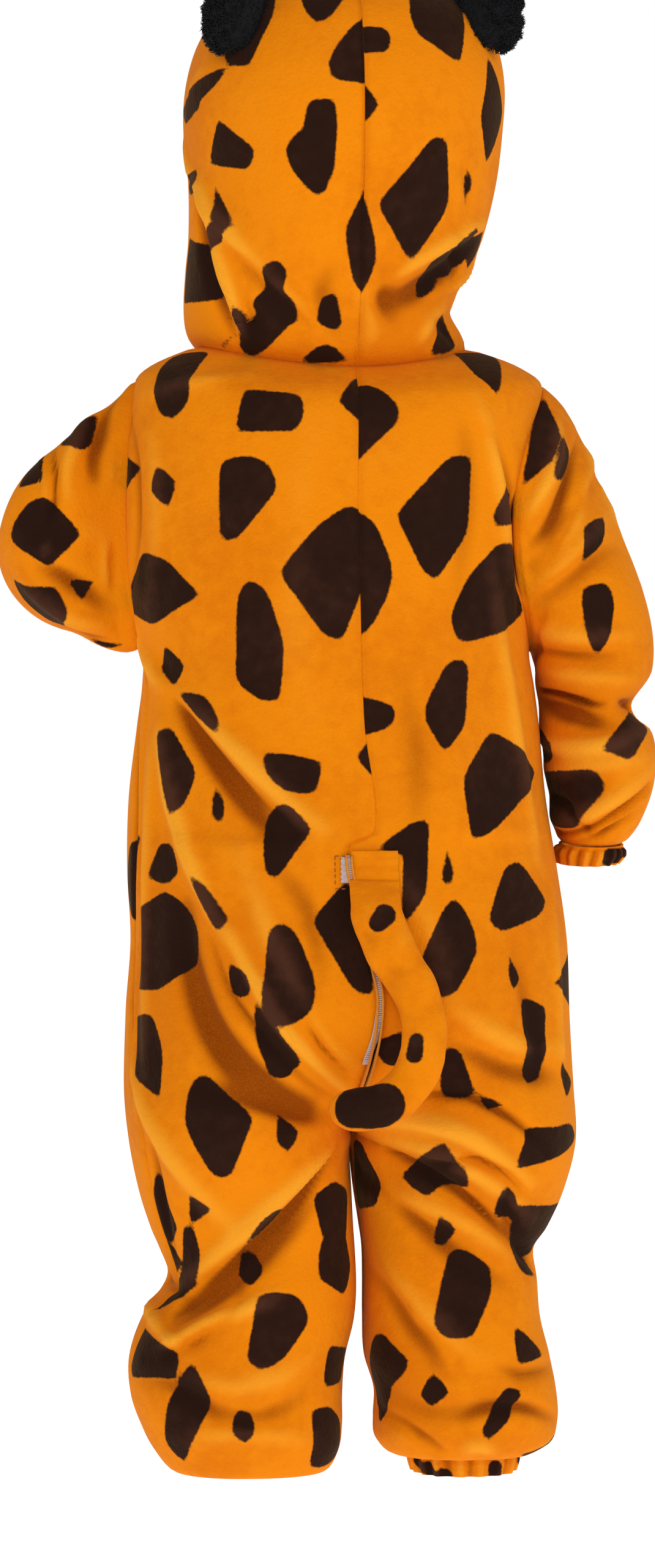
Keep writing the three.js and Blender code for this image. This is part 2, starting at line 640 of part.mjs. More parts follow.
// The ears: half-round stuffed pads in curly pile, sewn on by their straight side, which runs up the hood.
const EAR_PLACE = { left: { turn: 0.51, level: 194 }, right: { turn: 0.43, level: 199.5 } };
const EAR = { half: 26, foot: 5.5, out: 28, thick: 9.5, rise: 17, reach: 0.055, columns: 16, rows: 8 };
function ear(side) {
  const place = side < 0 ? EAR_PLACE.left : EAR_PLACE.right;
  const turn = -place.turn;
  const root = hood(side, turn, place.level);
  const out = V(side * 0.88, -0.3, 0.352).normalize();
  const along = V(-side * 0.371, 0, 0.928).normalize();
  const through = along.clone().cross(out).normalize();
  const towards = Math.sign(hood(side, turn + 0.01, place.level).sub(root).dot(through));
  const angles = Array.from({ length: EAR.columns }, (_, k) => (2 * Math.PI * k) / EAR.columns);
  const rings = [0.35, 0.7, 1].map((share) =>
    angles.map((angle) => {
      const t = turn + towards * share * EAR.reach * Math.sin(angle);
      const level = place.level + share * EAR.rise * Math.cos(angle);
      return hood(side, t, level).addScaledVector(hoodOut(side, t, level), SEAM + 0.4);
    }),
  );
  for (let r = 0; r < EAR.rows; r += 1) {
    const lift = mix(-0.3, Math.PI / 2, r / (EAR.rows - 1));
    const far = EAR.foot + ((EAR.out - EAR.foot) * (Math.sin(lift) + 0.2955)) / 1.2955;
    const middle = root.clone().addScaledVector(out, far);
    const size = r === EAR.rows - 1 ? 0.12 : Math.cos(lift);
    rings.push(
      angles.map((angle) => {
        const p = middle.clone().addScaledVector(along, EAR.half * size * Math.cos(angle));
        return clearOfHood(p.addScaledVector(through, EAR.thick * size * Math.sin(angle)), 1.8);
      }),
    );
  }
  return capped(rings, root.clone().addScaledVector(hoodOut(side, turn, place.level), SEAM + 0.4));
}
// A filled body from rings, closed by a fan at its first and last ring.
function capped(rings, first) {
  const count = rings[0].length;
  const points = rings.flat();
  const mean = (ring) => ring.reduce((sum, p) => sum.add(p), V(0, 0, 0)).divideScalar(count);
  points.push(first ?? mean(rings[0]), mean(rings[rings.length - 1]));
  const faces = [];
  for (let r = 0; r < rings.length - 1; r += 1) {
    for (let k = 0; k < count; k += 1) {
      const next = (k + 1) % count;
      const [a, b, c, d] = [r * count + k, (r + 1) * count + k, (r + 1) * count + next, r * count + next];
      faces.push([a, b, c], [a, c, d]);
    }
  }
  const end = (rings.length - 1) * count;
  for (let k = 0; k < count; k += 1) {
    const next = (k + 1) % count;
    faces.push([points.length - 2, k, next], [points.length - 1, end + next, end + k]);
  }
  return solid(points, faces);
}
add("ear_left", ear(-1), blackPlush);
add("ear_right", ear(1), blackPlush);

// How far the body reaches to the back or front at a place over the seat or chest.
function reachAt(face, x, z) {
  const middle = backSeam(z) * (face === "back" ? 1 : 0);
  const side = x < middle ? -1 : 1;
  let near = 0;
  let far = face === "back" ? -1 : 1;
  for (let i = 0; i < 30; i += 1) {
    const turn = (near + far) / 2;
    if (side * (body(side, turn, z).x - x) > 0) near = turn;
    else far = turn;
  }
  return body(side, far, z).y;
}

// The tail: a flat band sewn over the zip's upper end, then a stuffed tube that swings to the right.
const tailRings = table("x z width thick", [
  [5, -294, 13.8, 1.4],
  [5, -301, 13.9, 1.5],
  [5, -308, 14, 1.6],
  [4.6, -312, 14.4, 3],
  [4.2, -319, 14.6, 6],
  [5.2, -331, 14.8, 8],
  [10, -346, 14.6, 9],
  [18, -360, 14.2, 9],
  [26, -374, 13.6, 9],
  [31, -390, 13.2, 9],
  [31.5, -406, 13.2, 9],
  [27, -421, 13.2, 9],
  [18, -433, 13, 9],
  [6, -440, 12.8, 9],
  [-6, -442.5, 12.4, 8.6],
  [-15, -442.5, 10.6, 7.6],
  [-20.5, -442, 6.6, 5],
  [-22.5, -442, 2.4, 2],
]);
const TAIL_SIDES = 16;
function tail() {
  const rings = tailRings.map((t, r) => {
    const a = tailRings[Math.max(0, r - 1)];
    const b = tailRings[Math.min(tailRings.length - 1, r + 1)];
    const length = Math.hypot(b.x - a.x, b.z - a.z);
    const across = r < 3 ? [1, 0] : [-(b.z - a.z) / length, (b.x - a.x) / length];
    return Array.from({ length: TAIL_SIDES }, (_, k) => {
      const angle = (2 * Math.PI * k) / TAIL_SIDES;
      const flat = rounded(angle);
      const s = t.width * flat * Math.cos(angle);
      const x = t.x + across[0] * s;
      const z = t.z + across[1] * s;
      const stand = SEAM + 0.2 + TAIL_OFF * smooth((-310 - t.z) / 16) + 3 * smooth((-370 - t.z) / 40);
      const surface = r < 3 ? reachAt("back", x, z) : Math.min(reachAt("back", t.x, Math.max(-378, t.z)), -107.5);
      return V(x, surface - stand - t.thick * (1 + flat * Math.sin(angle)), z);
    });
  });
  return capped(rings);
}
add("tail", tail(), tailPlush);

// The seat zip: woven tape with its teeth, in the slot between the back panels.
function seatZip() {
  const rows = levels.filter((level) => level <= ZIP.top && level >= ZIP.bottom);
  const ends = rows.map((level, i) => (i === 0 ? level - 0.4 : i === rows.length - 1 ? level + 0.4 : level));
  const half = ZIP.part + SEAM / 2 - SEAM;
  const grid = ends.map((level) => [-half, -half / 3, half / 3, half].map((x) => {
    const p = smoothBody(1, -1, level);
    return V(backSeam(level) + x, p.y + 0.7, level);
  }));
  const normals = grid.map((row) => row.map(() => V(0, -1, 0)));
  return wall(grid, inwards(grid, normals, 1.5));
}
add("seat_zip", seatZip(), zipTape);

// A flat piece on the back or front panel, its outline given as a ring of places.
function plate(face, outline, thick, off = SEAM + 0.15) {
  const towards = face === "back" ? -1 : 1;
  const near = outline.map(([x, z]) => V(x, reachAt(face, x, z) + towards * off, z));
  const far = near.map((p) => V(p.x, p.y + towards * thick, p.z));
  return capped([near, far]);
}
const rectangle = (x0, x1, z0, z1) => [[x0, z0], [x1, z0], [x1, z1], [x0, z1]];
add("zip_tape_end", plate("back", rectangle(-14.6, -9.4, -312.5, -297.5), 1.1), zipTape);
const slider = { level: -345, width: 3.4, height: 8, thick: 3 };
const sliderY = smoothBody(1, -1, slider.level).y;
const sliderBox = new THREE.BoxGeometry(slider.width, slider.thick, slider.height);
const sliderLean = Math.atan((backSeam(slider.level - 4) - backSeam(slider.level + 4)) / 8);
sliderBox.rotateY(-sliderLean);
sliderBox.translate(backSeam(slider.level), sliderY + 0.7 - SEAM - 0.25 - slider.thick / 2, slider.level);
add("zip_slider", sliderBox, zipMetal);

// The front is closed by flat buttons beside its middle line.
const BUTTON = { x: 10, radius: 6.5, thick: 2.6, sides: 16, levels: [-60, -135, -210, -285, -360] };
BUTTON.levels.forEach((level, i) => {
  const ring = Array.from({ length: BUTTON.sides }, (_, k) => {
    const angle = (2 * Math.PI * k) / BUTTON.sides;
    return [BUTTON.x + BUTTON.radius * Math.cos(angle), level + BUTTON.radius * Math.sin(angle)];
  });
  add(`button_${i + 1}`, plate("front", ring, BUTTON.thick), buttonPlastic);
});

export default costume;
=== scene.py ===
import bpy
import numpy as np
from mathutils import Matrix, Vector


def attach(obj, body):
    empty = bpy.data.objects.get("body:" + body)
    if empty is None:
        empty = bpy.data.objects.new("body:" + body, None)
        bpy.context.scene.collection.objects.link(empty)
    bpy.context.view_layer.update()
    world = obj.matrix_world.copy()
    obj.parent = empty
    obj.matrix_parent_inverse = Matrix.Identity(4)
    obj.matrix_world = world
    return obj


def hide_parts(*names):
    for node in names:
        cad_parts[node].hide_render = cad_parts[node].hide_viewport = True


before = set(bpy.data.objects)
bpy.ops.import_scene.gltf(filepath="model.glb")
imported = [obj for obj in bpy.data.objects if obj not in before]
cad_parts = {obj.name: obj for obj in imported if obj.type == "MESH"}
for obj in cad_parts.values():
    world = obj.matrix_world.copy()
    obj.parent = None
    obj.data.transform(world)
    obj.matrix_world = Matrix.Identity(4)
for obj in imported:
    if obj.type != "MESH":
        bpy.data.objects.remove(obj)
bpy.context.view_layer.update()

# Camera and studio
# The suit is seen from behind, a little from its left side, level with the middle of the back.
# A near-white floor and sky stand in for the white studio, with one large soft lamp high on the left.
AZIMUTH = np.radians(-6.0)
CAMERA_AWAY = 2600.0
FRAME_CENTRE = (-11.1, -255.3)
FRAME_TALL = 947.0
SIDEWAYS = np.array([np.cos(AZIMUTH), np.sin(AZIMUTH), 0.0])
TOWARDS_CAMERA = np.array([np.sin(AZIMUTH), -np.cos(AZIMUTH), 0.0])


def turned_to(obj, target):
    """Turns a lamp or camera so that its view axis points at the target."""
    aim = Vector(target) - obj.location
    obj.rotation_euler = aim.to_track_quat("-Z", "Y").to_euler()


target = (SIDEWAYS * FRAME_CENTRE[0] + np.array([0, 0, FRAME_CENTRE[1]])) / 1000
camera = bpy.data.objects.new("camera", bpy.data.cameras.new("camera"))
camera.data.sensor_width = 36.0
camera.data.lens = 36.0 * CAMERA_AWAY / FRAME_TALL
camera.location = target + TOWARDS_CAMERA * CAMERA_AWAY / 1000
bpy.context.collection.objects.link(camera)
turned_to(camera, target)
bpy.context.scene.camera = camera

for name, place, size, power in (
    ("key_lamp", (-1.1, -2.4, 1.7), 1.4, 24.5),
    ("fill_lamp", (1.9, -1.8, 0.5), 1.6, 14.0),
):
    lamp = bpy.data.objects.new(name, bpy.data.lights.new(name, "AREA"))
    lamp.data.size = size
    lamp.data.energy = power
    lamp.location = place
    bpy.context.collection.objects.link(lamp)
    turned_to(lamp, (0, 0, -0.25))

world = bpy.data.worlds.new("studio")
world.use_nodes = True
lit = world.node_tree.nodes["Background"]
lit.inputs[0].default_value = (1.0, 0.99, 0.975, 1)
lit.inputs[1].default_value = 0.42
backdrop, seen_by, either = (world.node_tree.nodes.new(k) for k in (
    "ShaderNodeBackground", "ShaderNodeLightPath", "ShaderNodeMixShader"))
backdrop.inputs[0].default_value = (1.0, 1.0, 1.0, 1)
for start, end in (
    (seen_by.outputs["Is Camera Ray"], either.inputs[0]),
    (lit.outputs[0], either.inputs[1]),
    (backdrop.outputs[0], either.inputs[2]),
    (either.outputs[0], world.node_tree.nodes["World Output"].inputs[0]),
):
    world.node_tree.links.new(start, end)
bpy.context.scene.world = world
bpy.context.scene.view_settings.view_transform = "Standard"

FLOOR_LEVEL, FLOOR_REACH = -0.742, 30.0
floor_mesh = bpy.data.meshes.new("floor")
floor_mesh.from_pydata(
    [(x * FLOOR_REACH, y * FLOOR_REACH, FLOOR_LEVEL) for x, y in ((-1, -1), (1, -1), (1, 1), (-1, 1))],
    [],
    [(0, 1, 2, 3)],
)
floor = bpy.data.objects.new("floor", floor_mesh)
bpy.context.collection.objects.link(floor)
pale = bpy.data.materials.new("pale_floor")
pale.use_nodes = True
for key, value in (
    ("Base Color", (0.95, 0.95, 0.95, 1)), ("Roughness", 0.9), ("Emission Color", (1, 1, 1, 1)),
    ("Emission Strength", 0.7),
):
    pale.node_tree.nodes["Principled BSDF"].inputs[key].default_value = value
floor_mesh.materials.append(pale)

# Body panels: two backs and two fronts
# Each is one piece of printed plush from the neck to the ankle, sewn at the middle, side and inner leg.
# The cloth hangs full over the seat and blouses over the ankle elastic, so it is creased all over.
CLOTH = 2.5
# Gap between two sewn pieces: less than nothing, so that no light shows between them
SEAM = -0.06
NECK_TOP = 8.0
NECK_DIP = {-1: 16.0, 1: 30.0}
NECK_FADE = 48.0
SQUARENESS = 2.3
RISE_TOP, RISE_END = -380.0, -470.0
CROTCH, CROTCH_FADE = -454.0, 70.0
ARM_TOP, ARM_BOTTOM = -12.0, -174.0
ARM_REACH = {(-1, -1): 0.12, (1, -1): 0.42, (-1, 1): 0.4, (1, 1): 0.4}
LEG_END = -663.0
LEG_MIDDLE = 55.0
# level left right back front
TRUNK = [
    (8, 90, 73, 60, 56), (0, 110, 97, 69, 65), (-6, 121, 109, 75, 72), (-12, 127, 117, 80, 78),
    (-24, 130, 120, 86, 84), (-50, 134, 118, 92, 91), (-95, 136, 115, 96, 97), (-140, 133, 112, 98, 101),
    (-176, 123, 110, 99, 103), (-196, 123, 113, 100, 104.5), (-220, 126, 116, 101, 106),
    (-263, 131, 120, 104, 108), (-306, 132, 127, 107, 108), (-349, 130, 133, 110, 106),
    (-392, 133, 134.5, 112, 102), (-436, 134, 136.5, 109, 96), (-470, 131, 138, 104, 92),
]
# level z inner outer back front
LEGS = {
    -1: [
        (-380, -380, 0, 131, 108, 96), (-436, -436, 0, 134, 100, 88), (-470, -470, 0.4, 131, 90, 78),
        (-500, -500, -2, 125, 76, 68), (-522, -522, -3.5, 118, 69, 62), (-534, -534, -4.5, 113, 66, 60),
        (-552, -552, -5.5, 108, 68, 62), (-576, -576, -4, 123, 70, 62), (-600, -600, 1.5, 131, 68, 60),
        (-620, -622, 3, 130, 65, 57), (-636, -640, 3, 124, 61, 53), (-648, -655, 5, 116, 54, 46),
        (-656, -667, 12, 105, 44, 37), (-663, -664, 24, 92, 33, 28),
    ],
    1: [
        (-380, -380, 0, 133, 108, 96), (-436, -436, 0, 136.5, 100, 88), (-470, -470, 1, 138, 90, 78),
        (-500, -500, 4, 131, 76, 68), (-522, -522, 8, 121, 69, 62), (-534, -534, 10, 113, 67, 60),
        (-552, -552, 10.5, 115, 66, 60), (-576, -576, 10.5, 117, 66, 60), (-600, -600, 11.5, 123, 66, 60),
        (-620, -621, 17.5, 127, 64, 58), (-636, -638, 17, 128, 60, 54), (-648, -650, 18, 124, 53, 46),
        (-656, -658, 26, 114, 44, 37), (-663, -656, 38, 105, 34, 29),
    ],
}
# level x
BACK_SEAM = [
    (8, -1), (-85, -3), (-150, -2), (-220, 0), (-283, 5.5), (-291, -9.5), (-330, -4), (-366, 5),
    (-380, 7.5), (-400, 5.5), (-418, 1), (-440, -3), (-454, -2), (-480, 0),
]
# level turn
LEFT_SIDE_SEAM = [
    (-174, 0), (-200, -0.14), (-240, -0.19), (-300, -0.22), (-360, -0.2), (-430, -0.16), (-500, -0.15),
    (-550, -0.12), (-600, -0.05), (-640, 0), (-670, 0),
]
ZIP_TOP, ZIP_BOTTOM, ZIP_PART = -297.0, -418.0, 2.2


def through(table, at):
    """Every other column of a table at the given values of its first one. Between two rows it is a cubic,
    whose slope at each row is that of the straight line through the row's two neighbours."""
    rows = np.array(sorted(table), float)
    x, y = rows[:, 0], rows[:, 1:]
    here = np.arange(len(x))
    before, after = np.maximum(here - 1, 0), np.minimum(here + 1, len(x) - 1)
    slope = (y[after] - y[before]) / (x[after] - x[before])[:, None]
    p = np.clip(np.asarray(at, float), x[0], x[-1])
    i = np.clip(np.searchsorted(x, p, side="right") - 1, 0, len(x) - 2)
    h = (x[i + 1] - x[i])[..., None]
    t = (p - x[i])[..., None] / h
    s = 1 - t
    value = y[i] * s * s * (1 + 2 * t) + y[i + 1] * t * t * (3 - 2 * t)
    value = value + slope[i] * h * t * s * s - slope[i + 1] * h * t * t * s
    return np.moveaxis(value, -1, 0)


def smooth(t):
    """Rises from 0 to 1 as t does, level at both ends."""
    c = np.clip(t, 0, 1)
    return c * c * (3 - 2 * c)


def rounded(angle):
    """Radius of a rounded box section at an angle from its side, as a share of its half width."""
    power = np.abs(np.cos(angle)) ** SQUARENESS + np.abs(np.sin(angle)) ** SQUARENESS
    return power ** (-1 / SQUARENESS)


def neck_drop(turn):
    """How far the neck seam lies under the shoulders, as the squared sine of the turn round the neck."""
    return np.where(turn < 0, NECK_DIP[-1], NECK_DIP[1]) * np.sin(turn * np.pi / 2) ** 2


def body_cloth(side, turn, level):
    """The body's smooth surface in millimetres. Turn runs from -1 at the back seam or inseam over the side
    to 1 in front, level runs down the cloth. A rounded half section of the trunk goes over into a closed
    rounded section of the leg, and the rows near the crotch curve up into a U."""
    left, right, back, front = through(TRUNK, level)
    z_leg, inner, outer, leg_back, leg_front = through(LEGS[side], level)
    width = left if side < 0 else right
    half, around = turn * np.pi / 2, turn * np.pi
    r, q = rounded(half), rounded(around)
    depth = np.where(turn < 0, back, front)
    leg_depth = np.where(np.sin(around) < 0, leg_back, leg_front)
    drop = (RISE_TOP - level) / (RISE_TOP - RISE_END)
    parted = smooth(drop)
    leg_x = (inner + outer) / 2 + (outer - inner) / 2 * q * np.cos(around)
    x = (1 - parted) * width * r * np.cos(half) + parted * leg_x
    y = (1 - parted) * depth * r * np.sin(half) + parted * leg_depth * q * np.sin(around)
    z = level - neck_drop(turn) * (1 - smooth((NECK_TOP - level) / NECK_FADE))
    to_seam = np.abs(turn) ** 3
    seam_z = CROTCH + (RISE_TOP - CROTCH) * (1 - np.sqrt(np.maximum(0, parted * (2 - parted))))
    rising = (drop > 0) & (drop < 1)
    below = z_leg + to_seam * (CROTCH - RISE_END) * (1 - smooth((RISE_END - level) / CROTCH_FADE))
    z = np.where(rising, z + to_seam * (seam_z - level), np.where(drop >= 1, below, z))
    centred = np.maximum(0, -y / back) ** 2 * np.maximum(0, 1 - (x / width) ** 2)
    return np.stack([side * (x + SEAM / 2) + through(BACK_SEAM, level)[0] * centred, y, z], -1)


def arm_reach(level):
    """How far the armhole's oval has opened at a level, from 0 at its ends to 1 at its middle."""
    t = (level - (ARM_TOP + ARM_BOTTOM) / 2) / ((ARM_TOP - ARM_BOTTOM) / 2)
    return np.sqrt(np.maximum(0, 1 - t * t))


def unit(vectors):
    """Vectors of length one that point the same way."""
    return vectors / np.maximum(np.linalg.norm(vectors, axis=-1, keepdims=True), 1e-9)


def slope_normal(surface, side, turn, level, up, down):
    """Unit normal of a smooth surface at one turn and level: the cross product of its two slopes there."""
    across = surface(side, turn + 0.01, level) - surface(side, turn - 0.01, level)
    return unit(np.cross(across, surface(side, turn, level + up) - surface(side, turn, level - down)) * side)


def grid_normals(grid, closed, side):
    """Unit normals of a grid of points: the cross product of its two central differences."""
    if closed:
        across = np.roll(grid, -1, 1) - np.roll(grid, 1, 1)
    else:
        across = np.gradient(grid, axis=1)
    return unit(np.cross(across, np.gradient(grid, axis=0)) * side)


def seen(points):
    """Where points show in the photograph's view: across and up on the plane through the origin."""
    towards = points @ TOWARDS_CAMERA
    scale = CAMERA_AWAY / (CAMERA_AWAY - towards)
    across = (points @ SIDEWAYS - FRAME_CENTRE[0]) * scale + FRAME_CENTRE[0]
    up = (points[..., 2] - FRAME_CENTRE[1]) * scale + FRAME_CENTRE[1]
    return np.stack([across, up], -1)


# How far cloth has to face the camera, or away from it, for a place to be cast on it
TOWARDS, AWAY = 0.06, -0.12


class Cloth:
    """The outer points of one or more pieces, on which creases and spots are placed by where they show."""

    def __init__(self, grids, normals):
        self.points = np.concatenate([g.reshape(-1, 3) for g in grids])
        normal = np.concatenate([n.reshape(-1, 3) for n in normals])
        self.facing = normal @ TOWARDS_CAMERA
        self.at = seen(self.points)

    def under(self, places, front):
        """The cloth's points that show nearest to the given places, on the far side where front is true."""
        ready = self.facing < AWAY if front else self.facing > TOWARDS
        where, points = self.at[ready], self.points[ready]
        gap = ((where[None] - np.asarray(places, float)[:, None]) ** 2).sum(-1)
        return points[gap.argmin(1)]


def to_line(points, line):
    """Distance of each point from a bent line in space, and how far along the line the nearest place is."""
    best = np.full(len(points), 1e9)
    along = np.zeros(len(points))
    for i in range(len(line) - 1):
        a, ab = line[i], line[i + 1] - line[i]
        t = np.clip((points - a) @ ab / max(ab @ ab, 1e-9), 0, 1)
        d = np.linalg.norm(points - a - t[:, None] * ab, axis=1)
        along = np.where(d < best, (i + t) / (len(line) - 1), along)
        best = np.minimum(best, d)
    return best, along


def crease(cloth, grids, creases):
    """Height of all creases at each grid point. A crease is a curve through three places, cast onto the
    cloth; across it the height falls off as a bell curve, and along it it swells from both ends."""
    heights = [np.zeros(g.shape[:2]) for g in grids]
    steps = np.linspace(0, 1, 18)[:, None]
    for x0, z0, x1, z1, x2, z2, width, height, *front in creases:
        ends = np.array([[x0, z0], [2 * x1 - (x0 + x2) / 2, 2 * z1 - (z0 + z2) / 2], [x2, z2]], float)
        places = (1 - steps) ** 2 * ends[0] + 2 * steps * (1 - steps) * ends[1] + steps**2 * ends[2]
        line = cloth.under(places, bool(front))
        for _ in range(3):
            line[1:-1] = (line[:-2] + 2 * line[1:-1] + line[2:]) / 4
        for h, g in zip(heights, grids):
            flat = g.reshape(-1, 3)
            near = (flat >= line.min(0) - 3 * width).all(1) & (flat <= line.max(0) + 3 * width).all(1)
            if near.any():
                d, t = to_line(flat[near], line)
                swell = np.sin(np.pi * np.clip(0.1 + 0.8 * t, 0, 1))
                h.reshape(-1)[near] += height * np.exp(-((d / width) ** 2)) * swell
    return heights


def spot_field(points, spots, melt=7.0):
    """Signed distance to the nearest spot in millimetres, negative inside. A spot is the hull of two balls,
    and hulls that meet melt together: where two distances differ by less than melt, their smaller one is
    lowered by a quarter of the missing difference squared over melt."""
    field = np.full(len(points), 60.0)
    for a, ra, b, rb in spots:
        ab = b - a
        t = np.clip((points - a) @ ab / max(ab @ ab, 1e-9), 0, 1)
        here = np.linalg.norm(points - a - t[:, None] * ab, axis=1) - ra - t * (rb - ra)
        near = np.maximum(melt - np.abs(field - here), 0)
        nearer = np.minimum(field, here)
        field = nearer - near**2 / (4 * melt) * (nearer < 4)
    return field


def charted(cloth, chart):
    """Spots from a chart of two places and two radii each, set down on the cloth where they show."""
    chart = np.array(chart, float)
    a, b = cloth.under(chart[:, 0:2], False), cloth.under(chart[:, 3:5], False)
    return [(a[i], chart[i, 2], b[i], chart[i, 5]) for i in range(len(chart))]


def patched(cloth, chart):
    """The corners of each charted spot in space, where they show on the cloth."""
    return [cloth.under(np.reshape(row, (-1, 2)), False) for row in chart]


# How far a patch is worked out beyond its corners, and how thick a slice of cloth it prints
PATCH_REACH, PATCH_DEEP = 14.0, 8.0


def patch_field(points, patches, soft=2.0, melt=3.0):
    """Signed distance to the nearest patch in millimetres, negative inside. A patch is a convex polygon seen
    along its own plane's normal: the smooth maximum of the distances from its edges, which rounds its
    corners. Patches that meet melt together as spots do."""
    field = np.full(len(points), 60.0)
    for corners in patches:
        middle = corners.mean(0)
        normal = np.linalg.svd(corners - middle)[2][2]
        out = np.cross(np.roll(corners, -1, 0) - corners, normal)
        length = np.linalg.norm(out, axis=1)
        out, start = out[length > 0.5] / length[length > 0.5, None], corners[length > 0.5]
        out *= np.sign(((start - middle) * out).sum(1))[:, None]
        size = np.linalg.norm(corners - middle, axis=1).max()
        close = np.flatnonzero(np.linalg.norm(points - middle, axis=1) < size + PATCH_REACH)
        d = points[close] @ out.T - (start * out).sum(1)
        k = min(soft, 0.13 * size)
        top = d.max(1)
        here = top + k * np.log(np.exp((d - top[:, None]) / k).sum(1)) - 0.5
        off_plane = np.abs((points[close] - middle) @ normal)
        here = np.where(off_plane > 0.5 * size + PATCH_DEEP, 60, here)
        near = np.maximum(melt - np.abs(field[close] - here), 0)
        nearer = np.minimum(field[close], here)
        field[close] = nearer - near**2 / (4 * melt) * (nearer < 3)
    return field


def printed_edge(grid, spots, patches=()):
    """Signed distance to the print's edge at each point of a grid, from the nearer spot or patch."""
    flat = grid.reshape(-1, 3)
    return np.minimum(spot_field(flat, spots), patch_field(flat, patches)).reshape(grid.shape[:2])


# Least and greatest size, share of the spacing, and distance from the cloth that shows
LARGE_SPOT = (9.0, 14.0, 1.0, 19.0)
SMALL_SPOT = (4.5, 6.0, 0.62, 9.0)
SPOT_TRIES = 4000


def scattered(cloth, seed, apart=47.0):
    """Spots for the hidden cloth, in the print's own mix: three large ones to each small one, at seeded
    places that lie apart from each other and from the cloth that shows."""
    rng = np.random.default_rng(seed)
    ready = np.flatnonzero(cloth.facing < AWAY)
    order = rng.permutation(ready)
    spots, taken = [], []
    shown = cloth.points[cloth.facing > TOWARDS]
    for i in order[:SPOT_TRIES]:
        p = cloth.points[i]
        least, greatest, share, margin = SMALL_SPOT if len(spots) % 4 == 3 else LARGE_SPOT
        if len(shown) and np.linalg.norm(shown - p, axis=1).min() < margin:
            continue
        if all(np.linalg.norm(p - q) > apart * share for q in taken):
            size = rng.uniform(least, greatest)
            far = size * rng.uniform(0.7, 1.9)
            gap = np.linalg.norm(cloth.points[ready] - p, axis=1)
            away = cloth.points[ready][np.abs(gap - far).argsort()[:60]]
            q = away[rng.integers(len(away))]
            spots.append((p, size, q, size * rng.uniform(0.35, 0.9)))
            taken.append(p)
    return spots


def keep_on(mesh, key, value):
    """Keeps one number a point on a mesh, for its material to read."""
    mesh.attributes.new(key, "FLOAT", "POINT").data.foreach_set("value", value.astype(np.float32))


def shell(name, grid, normals, closed, thick=CLOTH, **values):
    """A wall between a grid of points and the same points moved in along their normals, as one closed mesh.
    Each value is a number per grid point, kept on the mesh, and inside is 1 on the hidden face."""
    rows, cols = grid.shape[:2]
    points = np.concatenate([grid.reshape(-1, 3), (grid - normals * thick).reshape(-1, 3)]) / 1000
    r = np.arange(rows - 1)[:, None]
    c = np.arange(cols if closed else cols - 1)[None]
    nxt = (c + 1) % cols
    a, b, d, e = r * cols + c, (r + 1) * cols + c, (r + 1) * cols + nxt, r * cols + nxt
    outer = np.stack([a, b, d, e], -1).reshape(-1, 4)
    count = rows * cols
    faces = [outer, outer[:, ::-1] + count]
    rims = [(c[0], nxt[0], -1), ((rows - 1) * cols + c[0], (rows - 1) * cols + nxt[0], 1)]
    if not closed:
        down = np.arange(rows - 1) * cols
        rims += [(down, down + cols, 1), (down + cols - 1, down + 2 * cols - 1, -1)]
    for one, two, way in rims:
        rim = np.stack([one, two, two + count, one + count], -1)
        faces.append(rim if way < 0 else rim[:, ::-1])
    faces = np.concatenate(faces)
    v = points[faces]
    turned = np.einsum("ij,ij->i", v.mean(1), np.cross(v[:, 2] - v[:, 0], v[:, 3] - v[:, 1])).sum() < 0
    if turned:
        faces = faces[:, ::-1]
    mesh = bpy.data.meshes.new(name)
    mesh.from_pydata(points, [], faces.tolist())
    mesh.shade_smooth()
    for key, value in values.items():
        keep_on(mesh, key, np.tile(value.ravel(), 2))
    keep_on(mesh, "inside", np.repeat([0.0, 1.0], count))
    obj = bpy.data.objects.new(name, mesh)
    bpy.context.collection.objects.link(obj)
    return obj


class Finish:
    """A new material that reads Object coordinates, and the steps that each finish here is made by."""

    def __init__(self, name):
        self.mat = bpy.data.materials.new(name)
        self.mat.use_nodes = True
        self.shader = self.mat.node_tree.nodes["Principled BSDF"]
        self.place = self.node("TexCoord").outputs["Object"]

    def dial(self, node, dials):
        """Sets a node's inputs by name or number. A socket is linked to, anything else is a value."""
        for key, value in dials.items():
            if isinstance(value, bpy.types.NodeSocket):
                self.mat.node_tree.links.new(value, node.inputs[key])
            else:
                node.inputs[key].default_value = value

    def node(self, kind, dials=(), **settings):
        """A new node with its settings and inputs."""
        node = self.mat.node_tree.nodes.new(f"ShaderNode{kind}")
        for key, value in settings.items():
            setattr(node, key, value)
        self.dial(node, dict(dials))
        return node

    def noise(self, scale, detail=2.0):
        """Soft noise on the piece's own place."""
        dials = {"Scale": scale, "Detail": detail, "Vector": self.place}
        return self.node("TexNoise", dials).outputs["Fac"]

    def relief(self, height, strength, distance):
        """Sets the fine relief and hands back the material."""
        bump = self.node("Bump", {"Height": height, "Strength": strength, "Distance": distance})
        self.dial(self.shader, {"Normal": bump.outputs["Normal"]})
        return self.mat


